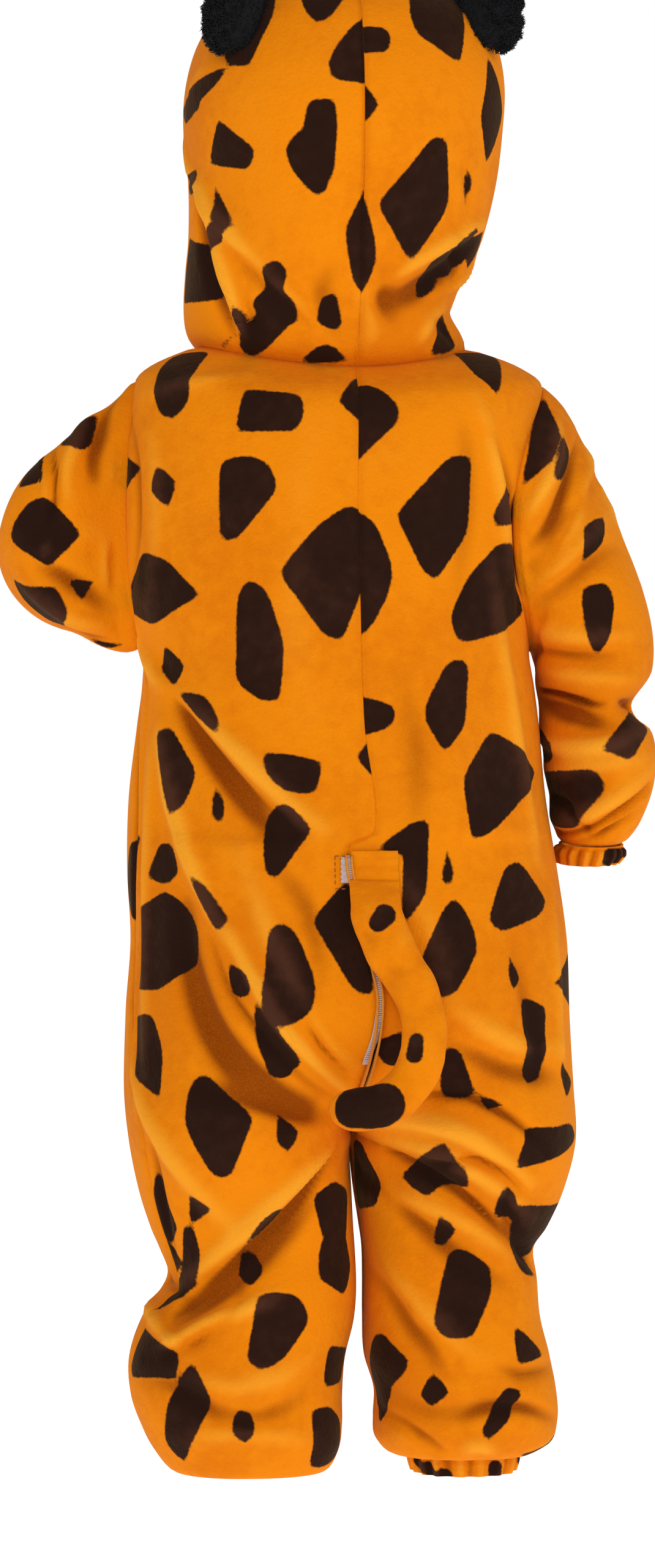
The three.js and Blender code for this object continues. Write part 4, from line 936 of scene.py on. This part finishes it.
for side in (-1, 1):
    grid = sleeve_ends[side]
    along = unit(grid[-1].mean(0) - grid[-6].mean(0))
    add_hem("wrist", side, grid[-1] + along * 0.2, along, [0, 6, 12], [1, 1.05, 0.94])
for side, tucked, drop, swell in ((-1, 8, 8.6, 0.93), (1, 2, 14, 0.99)):
    turn = np.linspace(-1, 1, 129)[:-1]
    ring = body_cloth(side, turn, np.full(128, LEG_END))
    radial = (ring - ring.mean(0)) * [1, 1, 0]
    ring = ring - unit(radial) * 0.9
    ring[:, 2] = ring[:, 2].mean() + tucked
    lengths, squeezes = [0, drop * 0.5 + 2, drop + 2], [1, swell, swell - 0.04]
    add_hem("ankle", side, ring, np.array([0, 0, -1.0]), lengths, squeezes)

# Hood
# Two halves of the same plush, sewn together over the crown and set into the neck seam. It is cut very
# full, so it has slumped into folds above the neck, and its front opening is turned in plainly.
FACE_MIDDLE, FACE_HALF, FACE_REACH = 104.0, 80.0, 0.6
# level left right back front
HOOD = [
    (8, 90, 73, 60, 56), (16, 96, 69, 68, 64), (30, 98, 62, 77, 74), (52, 97, 73, 88, 85),
    (74, 95, 82, 94, 91), (107, 95, 90, 100, 97), (141, 98, 94, 102, 98), (163, 97, 95, 99, 94),
    (184, 92, 92, 91, 85), (198, 85, 86, 84, 77), (211, 75, 76, 73, 66), (220, 64, 65, 62, 55),
    (228, 48, 49, 47, 41), (233, 31, 32, 30, 26), (235.6, 16, 17, 16, 13), (236.5, 0, 0, 0, 0),
]
HOOD_TOP = 236.5
HOOD_CREASES = [
    (-98, 128, -84, 96, -62, 66, 5, 4.5), (-76, 88, -56, 62, -16, 22, 5, 5),
    (-70, 72, -52, 52, -30, 26, 7, -4), (-92, 112, -84, 62, -66, 14, 5, -6),
    (-86, 108, -76, 66, -60, 16, 5, 5.5), (-66, 44, -58, 24, -56, 6, 4, -3.5),
    (-80, 60, -66, 34, -62, 12, 4, 3), (84, 84, 62, 72, 18, 44, 5, 5.5), (76, 70, 56, 50, 26, 34, 8, -8),
    (30, 58, 22, 40, 30, 22, 8, -4), (66, 76, 68, 54, 52, 36, 4, -3), (80, 62, 66, 46, 48, 40, 4, 3.5),
    (60, 34, 48, 20, 44, 6, 5, 3.5), (52, 26, 62, 16, 66, 6, 4, -3), (70, 120, 73, 104, 74, 90, 3, -2),
    (-8, 60, -14, 36, -4, 14, 8, -3), (4, 50, 16, 30, 12, 10, 7, 2.5),
    (-96, 150, -90, 170, -76, 184, 7, 2), (-90, 62, -60, 34, -20, 20, 8, -4, 1),
    (-84, 46, -56, 22, -18, 8, 7, 3.5, 1), (80, 60, 54, 34, 18, 20, 8, -4, 1),
    (74, 44, 50, 22, 16, 8, 7, 3.5, 1), (-90, 180, -70, 196, -40, 206, 9, 2.5, 1),
    (88, 180, 68, 196, 38, 206, 9, 2.5, 1),
]
HOOD_LEFT_SPOTS = [
    (-27, 225, 3, 225, -8, 207, -18, 203, -25, 212), (-66, 226, -42, 222, -44, 208, -58, 178, -72, 179),
    (20, 214, 2, 202, -11, 180, -9, 169, 6, 166, 20, 168),
    (-22, 157, -6, 157, -5, 148, -8, 112, -22, 110, -26, 140),
    (-27, 142, -38, 128, -35, 117, -18, 100, -11, 102, -10, 130),
    (-76, 145, -54, 128, -60, 115, -82, 119), (-70, 180, -76, 168, -92, 152, -94, 162, -82, 175),
    (-90, 162, -88, 154, -96, 142, -100, 152), (-90, 117, -88, 106, -93, 99, -96, 104),
    (-80, 108, -66, 82, -77, 84), (-76, 86, -66, 82, -82, 61, -84, 70),
    (-50, 56, -42, 60, -36, 54, -38, 42, -48, 42), (-48, 46, -40, 46, -29, 36, -30, 24, -52, 22, -57, 36),
    (-54, 30, -30, 26, -54, 1, -63, 3, -64, 13), (-14, 39, -7, 40, -2, 22, -6, 17, -18, 24),
    (-28, -1, -16, 10, -8, 9, 1, 0), (-66, 36, -59, 26, -62, 20, -67, 24), (-60, 21, -74, 4, -77, 8),
    (-94, 74, -85, 68, -74, 37, -98, 35), (17, 114, -2, 77, 0, 68, 4, 48, 16, 34),
]
HOOD_RIGHT_SPOTS = [
    (38, 224, 62, 224, 72, 192, 71, 179, 64, 183, 42, 198, 38, 208),
    (6, 202, 24, 202, 28, 193, 24, 187, 6, 187), (7, 174, 20, 156, 7, 141),
    (52, 134, 61, 134, 62, 92, 38, 60, 19, 97), (84, 186, 92, 168, 95, 150, 84, 118, 82, 150),
    (73, 116, 76, 108, 73, 91), (77, 82, 66, 75, 50, 59, 50, 48, 66, 50, 76, 66),
    (51, 56, 58, 46, 45, 35), (83, 80, 82, 70, 73, 55, 76, 72), (56, 30, 63, 18, 67, 7, 58, 2, 50, 4),
    (2, 112, 11, 98, 20, 62, 17, 54, 2, 30),
]


def hood_cloth(side, turn, level):
    """The hood's smooth surface: a rounded half section at each level, whose foot is drawn down to the
    neck seam."""
    left, right, back, front = through(HOOD, level)
    half = turn * np.pi / 2
    r = rounded(half)
    width = left if side < 0 else right
    depth = np.where(turn < 0, back, front)
    z = level - neck_drop(turn) * (1 - smooth((level - NECK_TOP) / NECK_FADE))
    return np.stack([side * (width * r * np.cos(half) + SEAM / 2), depth * r * np.sin(half), z], -1)


FACE_ROWS = 70
hood_levels = np.concatenate([
    np.linspace(NECK_TOP, FACE_MIDDLE - FACE_HALF, 10)[:-1],
    FACE_MIDDLE - FACE_HALF * np.cos(np.linspace(0, np.pi, FACE_ROWS + 1)),
    np.linspace(FACE_MIDDLE + FACE_HALF, 228, 22)[1:],
    [230, 231.8, 233.2, 234.3, 235.2, 235.8, 236.2, 236.4, HOOD_TOP],
])
HOOD_COLUMNS = 110
hood_columns = np.interp(np.linspace(0, 1, HOOD_COLUMNS + 1), even, columns)
hood_grids, hood_normals = {}, {}
for side in (-1, 1):
    level, t = np.meshgrid(hood_levels, hood_columns, indexing="ij")
    brush_and_crest_highlight = np.clip((level - FACE_MIDDLE) / FACE_HALF, -1, 1)
    edge = 1 - FACE_REACH * np.sqrt(1 - brush_and_crest_highlight**2)
    turn = -1 + (edge + 1) * t
    grid = hood_cloth(side, turn, level)
    smooth_hood = hood_cloth(side, np.clip(turn, -0.99, 0.99), np.minimum(level, HOOD_TOP - 0.5))
    n = grid_normals(smooth_hood, False, side)
    if (n * (grid - [0, 0, FACE_MIDDLE])).sum() < 0:
        n = -n
    n[-3:] = [0, 0, 1]
    n[:, 0, 0] = 0
    n[:, -1, 0] = np.where(edge[:, -1] > 0.999, 0, n[:, -1, 0])
    n = unit(n)
    grid[0] = body_cloth(side, turn[0], np.full(len(hood_columns), NECK_TOP))
    n[0] = neck_normal(side, np.clip(turn[0], -NEAR_SEAM, NEAR_SEAM))
    n[0, [0, -1], 0] = 0
    n[0] = unit(n[0])
    hood_grids[side], hood_normals[side] = grid, n
hood_all = Cloth(list(hood_grids.values()), list(hood_normals.values()))
hood_heights = dict(zip(hood_grids, crease(hood_all, list(hood_grids.values()), HOOD_CREASES)))
for side, grid in hood_grids.items():
    n = hood_normals[side]
    cloth = Cloth([grid], [n])
    fade = smooth((hood_levels - NECK_TOP) / 12) * smooth((HOOD_TOP - 2 - hood_levels) / 20)
    height = hood_heights[side] * fade[:, None]
    raised = grid + n * seam_roll(grid, height, (True, False, True, True))[..., None]
    patches = patched(hood_all, HOOD_LEFT_SPOTS if side < 0 else HOOD_RIGHT_SPOTS)
    edge = printed_edge(grid, scattered(cloth, 41 + side, 45.0), patches)
    # The fold height drives the plush's painted shade in hollows and painted highlight on crests.
    piece = shell(f"cloth_hood_{NAMES[side]}", raised, n, False, spot=edge, nap=height)
    piece.data.materials.append(printed)
    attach(piece, "root")
    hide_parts(f"hood_{NAMES[side]}")

# Ears
# Half-round pads of black curly pile, softly stuffed. Each is sewn on by its straight side, which runs
# up the side of the hood.
EAR_PLACE = {-1: (0.51, 194.0), 1: (0.43, 199.5)}
CURLS, CURL = 5200, (2.6, 0.42)
# Way out of the hood and way along the seam, for the right ear
EAR_OUT, EAR_ALONG = (0.88, -0.3, 0.352), (-0.371, 0.0, 0.928)
EAR = {"half": 26.0, "foot": 5.5, "out": 28.0, "thick": 9.5, "rise": 17.0, "reach": 0.055}


def hood_out(side, turn, level):
    """Outward normal of the hood's smooth surface at one place."""
    a, b = np.array(turn), np.array(level)
    n = slope_normal(hood_cloth, side, a, b, 0.5, 0.5)
    return n * np.sign((n * (hood_cloth(side, a, b) - [0, 0, FACE_MIDDLE])).sum(-1, keepdims=True))


def lumps(points, seed, size, count=36):
    """Smooth bumps between -1 and 1: a sum of waves in seeded directions, each about as long as size."""
    rng = np.random.default_rng(seed)
    total = np.zeros(points.shape[:-1])
    for _ in range(count):
        d = rng.normal(size=3)
        d *= 2 * np.pi / size / np.linalg.norm(d) * rng.uniform(0.7, 1.4)
        total = total + np.sin(points @ d + rng.uniform(0, 6.3))
    return total / np.sqrt(count)


def clear_of_hood(p, gap):
    """Points beside the hood's crown, each moved out level until it has a gap to the hood."""
    left, right, back, front = through(HOOD, p[..., 2])
    width = np.where(p[..., 0] < 0, left, right)
    power = np.abs(p[..., 0] / width) ** SQUARENESS + np.abs(p[..., 1] / back) ** SQUARENESS
    reach = power ** (1 / SQUARENESS)
    k = np.maximum(1, (1 + gap / np.minimum(width, back)) / reach)[..., None]
    return p * np.concatenate([k, k, np.ones_like(k)], -1)


def ear_pad(side, rows=64, cols=128):
    """Grid of an ear: a narrow oval along the hood's surface, then ellipses that swell and close outwards,
    their long half along the seam and their centre moving away from the hood."""
    turn, level = -EAR_PLACE[side][0], EAR_PLACE[side][1]
    root = hood_cloth(side, np.array(turn), np.array(level))
    out = unit(np.array(EAR_OUT) * [side, 1, 1])
    along = unit(np.array(EAR_ALONG) * [side, 1, 1])
    thick_way = unit(np.cross(along, out))
    towards = np.sign((hood_cloth(side, np.array(turn + 0.01), np.array(level)) - root) @ thick_way)
    a = 2 * np.pi * np.arange(cols) / cols
    ring_turn = turn + towards * EAR["reach"] * np.sin(a)
    ring_level = level + EAR["rise"] * np.cos(a)
    base = hood_cloth(side, ring_turn, ring_level) + hood_out(side, ring_turn, ring_level) * 0.7
    lift = -0.3 + (np.pi / 2 + 0.3) * np.linspace(0, 1, rows)[:, None, None]
    far = EAR["foot"] + (EAR["out"] - EAR["foot"]) * (np.sin(lift) + 0.2955) / 1.2955
    rings = root + out * far + along * EAR["half"] * np.cos(lift) * np.cos(a)[None, :, None]
    rings = clear_of_hood(rings + thick_way * EAR["thick"] * np.cos(lift) * np.sin(a)[None, :, None], 1.8)
    t = smooth(np.linspace(0, 1, rows) / 0.14)[:, None, None]
    return base[None] * (1 - t) + rings * t


def curly(name):
    """Black curly pile: near black with a faint cool sheen and a coarse, deep grain."""
    made = Finish(name)
    made.dial(made.shader, {
        "Base Color": (0.0035, 0.0035, 0.0042, 1), "Roughness": 0.8, "Specular IOR Level": 0.2,
        "Sheen Weight": 0.05, "Sheen Tint": (0.7, 0.75, 0.85, 1),
    })
    return made.relief(made.noise(700.0), 0.8, 0.001)


def solid_mesh(name, parts):
    """One mesh object from several (points in mm, faces) parts."""
    mesh = bpy.data.meshes.new(name)
    points, faces, base = [], [], 0
    for p, f in parts:
        points.append(np.asarray(p, float) / 1000)
        faces.extend([[i + base for i in face] for face in f])
        base += len(p)
    mesh.from_pydata(np.concatenate(points), [], faces)
    mesh.shade_smooth()
    obj = bpy.data.objects.new(name, mesh)
    bpy.context.collection.objects.link(obj)
    return obj


def closed_tube(grid):
    """Points and outward faces of a grid that is closed across, with a fan at its first and last row."""
    rows, cols = grid.shape[:2]
    r, c = np.arange(rows - 1)[:, None], np.arange(cols)[None]
    nxt = (c + 1) % cols
    quads = np.stack([r * cols + c, r * cols + nxt, (r + 1) * cols + nxt, (r + 1) * cols + c], -1)
    quads = quads.reshape(-1, 4)
    points = np.concatenate([grid.reshape(-1, 3), grid[0].mean(0)[None], grid[-1].mean(0)[None]])
    v = points[quads]
    centre = grid.reshape(-1, 3).mean(0)
    out = ((v.mean(1) - centre) * np.cross(v[:, 2] - v[:, 0], v[:, 3] - v[:, 1])).sum()
    last = (rows - 1) * cols
    fans = [[rows * cols, (k + 1) % cols, k] for k in range(cols)]
    fans += [[rows * cols + 1, last + k, last + (k + 1) % cols] for k in range(cols)]
    faces = quads.tolist() + fans
    return points, faces if out > 0 else [f[::-1] for f in faces]


def tufts(grid, seed, count, long, wide):
    """Small curls of pile: short bent three-sided spikes standing out of a closed grid's surface."""
    rng = np.random.default_rng(seed)
    flat = grid.reshape(-1, 3)
    n = grid_normals(grid, True, 1)
    n *= np.sign((n * (grid - flat.mean(0))).sum())
    n = n.reshape(-1, 3)
    pick = rng.integers(0, len(flat), count)
    lean = rng.normal(size=(count, 3)) * 0.55
    way = unit(n[pick] + lean)
    side_way = unit(np.cross(way, rng.normal(size=(count, 3))))
    other = np.cross(way, side_way)
    far = (long * rng.uniform(0.6, 1.3, count))[:, None]
    root = flat[pick] - n[pick] * 0.3
    points, faces = [], []
    for share, width in ((0, 1), (0.5, 0.85), (1, 0.2)):
        bend = side_way * far * 0.55 * np.sin(np.pi * share * 0.9)
        for k in range(3):
            a = 2 * np.pi * k / 3
            round_it = wide * width * (side_way * np.cos(a) + other * np.sin(a))
            points.append(root + way * far * share + bend + round_it)
    points = np.stack(points, 1).reshape(-1, 3)
    base = np.arange(count)[:, None] * 9
    for row in (0, 3):
        for k in range(3):
            j = (k + 1) % 3
            faces.append(base + np.array([row + k, row + j, row + 3 + j, row + 3 + k]))
    quads = np.concatenate(faces)
    caps = np.concatenate([base + np.array([2, 1, 0]), base + np.array([6, 7, 8])])
    return points, quads.tolist() + caps.tolist()


black_curls = curly("black_curly_pile")
for side in (-1, 1):
    grid = ear_pad(side)
    n = grid_normals(grid, True, 1)
    n *= np.sign((n * (grid - grid.reshape(-1, 3).mean(0))).sum())
    share = smooth(np.linspace(0, 1, len(grid)) / 0.2)[:, None]
    uneven = 0.9 * lumps(grid, 7 + side, 9.0) + 0.5 * lumps(grid, 17 + side, 4.0)
    grid = grid + n * (share * uneven)[..., None]
    curls = tufts(grid, 3 + side, CURLS, *CURL)
    piece = solid_mesh(f"curly_ear_{NAMES[side]}", [closed_tube(grid), curls])
    piece.data.materials.append(black_curls)
    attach(piece, "root")
    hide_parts(f"ear_{NAMES[side]}")

# Tail
# A narrow tube of the same plush, softly stuffed, with a dark tip. Its flat upper end is sewn on over
# the top of the zip, and the rest hangs down and bends over the seat.
TAIL_OFF = 3.6
# Where the sewn band ends, the lowest level whose seat the tail follows, and how far back it stays there
BAND_END, SEAT_END, SEAT_BACK = -310.0, -378.0, -107.5
# x z width thick
TAIL = [
    (5, -294, 13.8, 1.4), (5, -301, 13.9, 1.5), (5, -308, 14, 1.6), (4.6, -312, 14.4, 3),
    (4.2, -319, 14.6, 6), (5.2, -331, 14.8, 8), (10, -346, 14.6, 9), (18, -360, 14.2, 9),
    (26, -374, 13.6, 9), (31, -390, 13.2, 9), (31.5, -406, 13.2, 9), (27, -421, 13.2, 9),
    (18, -433, 13, 9), (6, -440, 12.8, 9), (-6, -442.5, 12.4, 8.6), (-15, -442.5, 10.6, 7.6),
    (-20.5, -442, 6.6, 5), (-22.5, -442, 2.4, 2),
]
# x z radius at both ends
TAIL_SPOTS = [
    (24, -334, 6.5, 20, -338, 5.5), (42, -410, 4.5, 41, -418, 5), (4, -452, 12, 23, -451, 12.5),
    (8, -446, 9, 24, -446, 9),
]


def back_reach(x, z):
    """How far the seat reaches to the back at given places, found on the body panels' own points."""
    grids = [panels[side, -1].reshape(-1, 3) for side in (-1, 1)]
    heights = [body_heights[side, -1].ravel() for side in (-1, 1)]
    points, height = np.concatenate(grids), np.concatenate(heights)
    ready = (points[:, 1] < -40) & (np.abs(points[:, 0]) < 60) & (points[:, 2] < -270)
    points, height = points[ready], height[ready]
    shape = x.shape
    gap = (points[None, :, 0] - x.reshape(-1, 1)) ** 2 + (points[None, :, 2] - z.reshape(-1, 1)) ** 2
    i = gap.argmin(1)
    return (points[i, 1] - height[i]).reshape(shape)


def tail_tube(rows=150, cols=56):
    """Grid of the tail: flattened rounded rings along its bent middle line, each lying just off the seat."""
    at = np.linspace(0, len(TAIL) - 1, rows)
    x, z, width, thick = through([(i, *row) for i, row in enumerate(TAIL)], at)
    dx, dz = np.gradient(x), np.gradient(z)
    length = np.hypot(dx, dz)
    flat_end = smooth((at - 2) / 2)
    across = np.stack([1 - flat_end + flat_end * -dz / length, flat_end * dx / length], -1)
    across = unit(across)
    angle = 2 * np.pi * np.arange(cols) / cols
    s = (width[:, None] * rounded(angle) * np.cos(angle))[..., None] * across[:, None]
    gx, gz = x[:, None] + s[..., 0], z[:, None] + s[..., 1]
    stand = SEAM + 0.2 + TAIL_OFF * smooth((BAND_END - z) / 16) + 3 * smooth((-370 - z) / 40)
    seat = np.minimum(back_reach(x, np.maximum(SEAT_END, z)), SEAT_BACK)
    on_band = back_reach(gx, gz)
    near = np.where((at < 3)[:, None], on_band, seat[:, None])
    y = near - stand[:, None] - thick[:, None] * (1 + rounded(angle) * np.sin(angle))
    return np.stack([gx, y, gz], -1)


tail_grid = tail_tube()
tail_n = grid_normals(tail_grid, True, 1)
tail_n *= np.sign((tail_n * (tail_grid - tail_grid.mean(1, keepdims=True))).sum())
at = np.linspace(0, len(TAIL) - 1, len(tail_grid))[:, None]
soft = smooth((at - 3) / 2) * smooth((len(TAIL) - 1 - at) / 2)
stitched = -0.9 * np.exp(-(((at - 2.6) / 0.25) ** 2)) - 0.6 * np.exp(-(((at - 1.35) / 0.16) ** 2))
uneven = 0.5 * lumps(tail_grid, 4, 34.0) + 0.15 * lumps(tail_grid, 9, 12.0)
swell = soft * uneven + stitched * (tail_n[..., 1] < -0.3)
tail_points, tail_faces = closed_tube(tail_grid + tail_n * swell[..., None])
tail = solid_mesh("stuffed_tail", [(tail_points, tail_faces)])
tail_spots = charted(Cloth([tail_grid], [tail_n]), TAIL_SPOTS)
keep_on(tail.data, "spot", spot_field(tail_points, tail_spots))
# The tail's swell drives the plush's painted shade in hollows and painted highlight on crests.
keep_on(tail.data, "nap", np.append(swell * 2, [0, 0]))
keep_on(tail.data, "inside", np.zeros(len(tail_points)))
tail.data.materials.append(printed)
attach(tail, "root")
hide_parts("tail")

# Seat zip
# A pale zip in the seat, partly under the tail: a woven tape with a moulded coil of teeth down its middle,
# sewn behind the slot between the two back panels.
ZIP_SUNK, TAPE = -1.3, 1.5
TOOTH = (1.25, 2.3, 0.62, 0.75)


def woven(name, colour):
    """Fine plain weave: two crossed wave patterns, a thread every 0.4 mm, with a little uneven colour."""
    made = Finish(name)
    dials = {"Scale": 780.0, "Distortion": 0.6, "Vector": made.place}
    threads = [made.node("TexWave", dials, bands_direction=way).outputs["Fac"] for way in ("X", "Z")]
    weave = made.node("Math", enumerate(threads), operation="MULTIPLY")
    stain = {"A": (*[c * 0.78 for c in colour], 1), "B": (*colour, 1), "Factor": made.noise(90.0)}
    uneven = made.node("Mix", stain, data_type="RGBA")
    made.dial(made.shader, {"Base Color": uneven.outputs["Result"], "Roughness": 0.75})
    return made.relief(weave.outputs["Value"], 0.5, 0.0002)


def hard(name, colour, metallic, roughness):
    """Moulded or cast stuff: an even colour with fine wear in its roughness and a faint orange-peel bump."""
    made = Finish(name)
    wear = made.noise(420.0, 6.0)
    streak_and_crest_highlight = made.node("MapRange", {"To Min": roughness - 0.1, "To Max": roughness + 0.14, "Value": wear})
    made.dial(made.shader, {
        "Base Color": (*colour, 1), "Metallic": metallic, "Roughness": streak_and_crest_highlight.outputs["Result"],
    })
    return made.relief(wear, 0.25, 0.0002)


def laid_on(face, x, z):
    """Depth of the creased cloth at places over the back or front: the mean of its four nearest points,
    each weighed by one over its squared distance."""
    points = np.concatenate([dressed[f"{FACES[face]}_{NAMES[side]}"].reshape(-1, 3) for side in (-1, 1)])
    points = points[(face * points[:, 1] > 40) & (np.abs(points[:, 0]) < 60)]
    gap = (points[None, :, 0] - x.reshape(-1, 1)) ** 2 + (points[None, :, 2] - z.reshape(-1, 1)) ** 2
    near = np.argpartition(gap, 4, axis=1)[:, :4]
    weight = 1 / (np.take_along_axis(gap, near, 1) + 0.05)
    return ((points[near, 1] * weight).sum(1) / weight.sum(1)).reshape(x.shape)


def seat_line(level, off):
    """Places on the zip's middle line at some levels. Their depth is that of the creased cloth beside the
    line, as the mean of nine neighbours, plus off."""
    x = through(BACK_SEAM, level)[0]
    y = laid_on(-1, x, level)
    return np.stack([x, np.convolve(np.pad(y, 4, "edge"), np.ones(9) / 9, "valid") + off, level], -1)


pale_tape = woven("pale_zip_tape", (0.62, 0.50, 0.49))
zip_level = np.linspace(ZIP_TOP + 0.4, ZIP_BOTTOM - 0.4, 110)
tape_x = np.linspace(0.15 - ZIP_PART, ZIP_PART - 0.15, 9)
tape = seat_line(zip_level, ZIP_SUNK)[:, None] + tape_x[:, None] * [1.0, 0, 0]
piece = shell("cloth_zip_tape", tape, np.zeros_like(tape) + [0, -1.0, 0], False, thick=TAPE)
piece.data.materials.append(pale_tape)
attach(piece, "root")
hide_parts("seat_zip")

pitch, tooth_wide, tooth_high, tooth_deep = TOOTH
corners = np.array([[x, y, z] for x in (-1, 1) for y in (-1, 1) for z in (-1, 1)]) / 2
box_faces = [[0, 1, 3, 2], [4, 6, 7, 5], [0, 4, 5, 1], [2, 3, 7, 6], [0, 2, 6, 4], [1, 5, 7, 3]]
steps = np.arange(ZIP_TOP - 1.5, ZIP_BOTTOM + 1, -pitch)
offset = np.where(np.arange(len(steps)) % 2, 0.28, -0.28)
places = seat_line(steps, ZIP_SUNK - tooth_deep / 2 + 0.1) + offset[:, None] * [1.0, 0, 0]
teeth = [(place + corners * [tooth_wide, tooth_deep, tooth_high], box_faces) for place in places]
piece = solid_mesh("zip_teeth", teeth)
piece.data.shade_flat()
piece.data.materials.append(hard("pale_nylon_coil", (0.56, 0.47, 0.46), 0.0, 0.42))
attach(piece, "root")

# Tape end and its stitching
# The zip tape's end comes out beside the tail's band, and dark machine stitches hold band and tape in a box.
TAPE_END = (-14.6, -9.4, -312.5, -297.5)
STITCH = (2.4, 1.1, 0.34)
# x z x z
STITCHED = [(-18, -297, -10, -297), (-18, -297, -18, -316), (-18, -316, -9, -316)]


def rod(a, b, radius, sides=6):
    """A short thread between two places: rings round the line, whose radius shrinks towards both ends."""
    share = np.array([0.0, 0.12, 0.5, 0.88, 1.0])[:, None, None]
    swell = np.array([0.45, 0.85, 1.0, 0.85, 0.45])[:, None, None]
    line = unit(b - a)
    one = unit(np.cross(line, [0.3, 1.0, 0.2]))
    two = np.cross(line, one)
    angle = (2 * np.pi * np.arange(sides) / sides)[None, :, None]
    return closed_tube(a + (b - a) * share + radius * swell * (one * np.cos(angle) + two * np.sin(angle)))


x0, x1, z0, z1 = TAPE_END
ex, ez = np.meshgrid(np.linspace(x0, x1, 12), np.linspace(z1, z0, 30))
frayed = 0.35 * np.sin(ez * 2.1) + 0.2 * np.sin(ez * 5.3)
ex = ex + np.where(ex < x0 + 1, frayed, 0)
end = np.stack([ex, laid_on(-1, ex, ez) - 1.35 - 0.25 * np.sin(ez * 0.9), ez], -1)
piece = shell("cloth_tape_end", end, np.zeros_like(end) + [0, -1.0, 0], False, thick=1.0)
piece.data.materials.append(pale_tape)
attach(piece, "root")
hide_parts("zip_tape_end")

long, gap, radius = STITCH
threads = []
for ax, az, bx, bz in STITCHED:
    whole = np.hypot(bx - ax, bz - az)
    starts = np.arange(0, whole - long, long + gap) / whole
    ends = starts + long / whole
    for s, e in zip(starts, ends):
        px = ax + (bx - ax) * np.array([s, e])
        pz = az + (bz - az) * np.array([s, e])
        y = laid_on(-1, px, pz) - np.where(px > -15.2, 1.5, 0.2)
        ends_at = np.stack([px, y, pz], -1)
        threads.append(rod(ends_at[0], ends_at[1], radius))
piece = solid_mesh("zip_stitches", threads)
piece.data.materials.append(woven("orange_thread", (0.42, 0.11, 0.01)))
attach(piece, "root")

# Zip slider
# A small cast slider at the zip's closed top end, hidden by the tail. It is shown by the solid model's
# own body, which gets its cast metal here.
bpy.data.objects["zip_slider"].data.materials[0] = hard("cast_zinc", (0.55, 0.54, 0.52), 1.0, 0.36)

# Buttons
# Five flat moulded buttons down the front closure, each with a rim and a dished middle, sewn on with two
# crossed threads.
BUTTON_LEVELS = [-60, -135, -210, -285, -360]
BUTTON_X = 10.0
# radius height
PROFILE = [
    (6.1, 0.0), (6.45, 0.5), (6.5, 1.2), (6.3, 2.1), (5.9, 2.5), (5.4, 2.6), (4.9, 2.3), (4.3, 1.7),
    (3.4, 1.45), (0.5, 1.4),
]


def turned(x, z, profile, sides=48):
    """A disc on the front: a profile turned about the cloth's depth axis and sheared to lie on its slope."""
    r, h = np.array(profile).T[:, :, None]
    angle = 2 * np.pi * np.arange(sides) / sides
    dx, dz = r * np.cos(angle), r * np.sin(angle)
    ends = laid_on(1, x + np.array([-6.0, 6.0, 0, 0]), z + np.array([0, 0, -6.0, 6.0]))
    base = max(laid_on(1, np.array([x]), np.array([z]))[0], ends.mean()) + 0.15
    y = base + (ends[1] - ends[0]) / 12 * dx + (ends[3] - ends[2]) / 12 * dz + h
    return np.stack([x + dx, y, z + dz], -1)


moulded = hard("brown_button", (0.055, 0.022, 0.012), 0.0, 0.38)
for i, level in enumerate(BUTTON_LEVELS):
    grid = turned(BUTTON_X, float(level), PROFILE)
    middle = grid[-1].mean(0) + [0, 0.1, 0]
    cross = [rod(middle + [-1.3, 0, -s * 1.3], middle + [1.3, 0, s * 1.3], 0.32) for s in (-1, 1)]
    piece = solid_mesh(f"turned_button_{i + 1}", [closed_tube(grid), *cross])
    piece.data.materials.append(moulded)
    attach(piece, "root")
    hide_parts(f"button_{i + 1}")
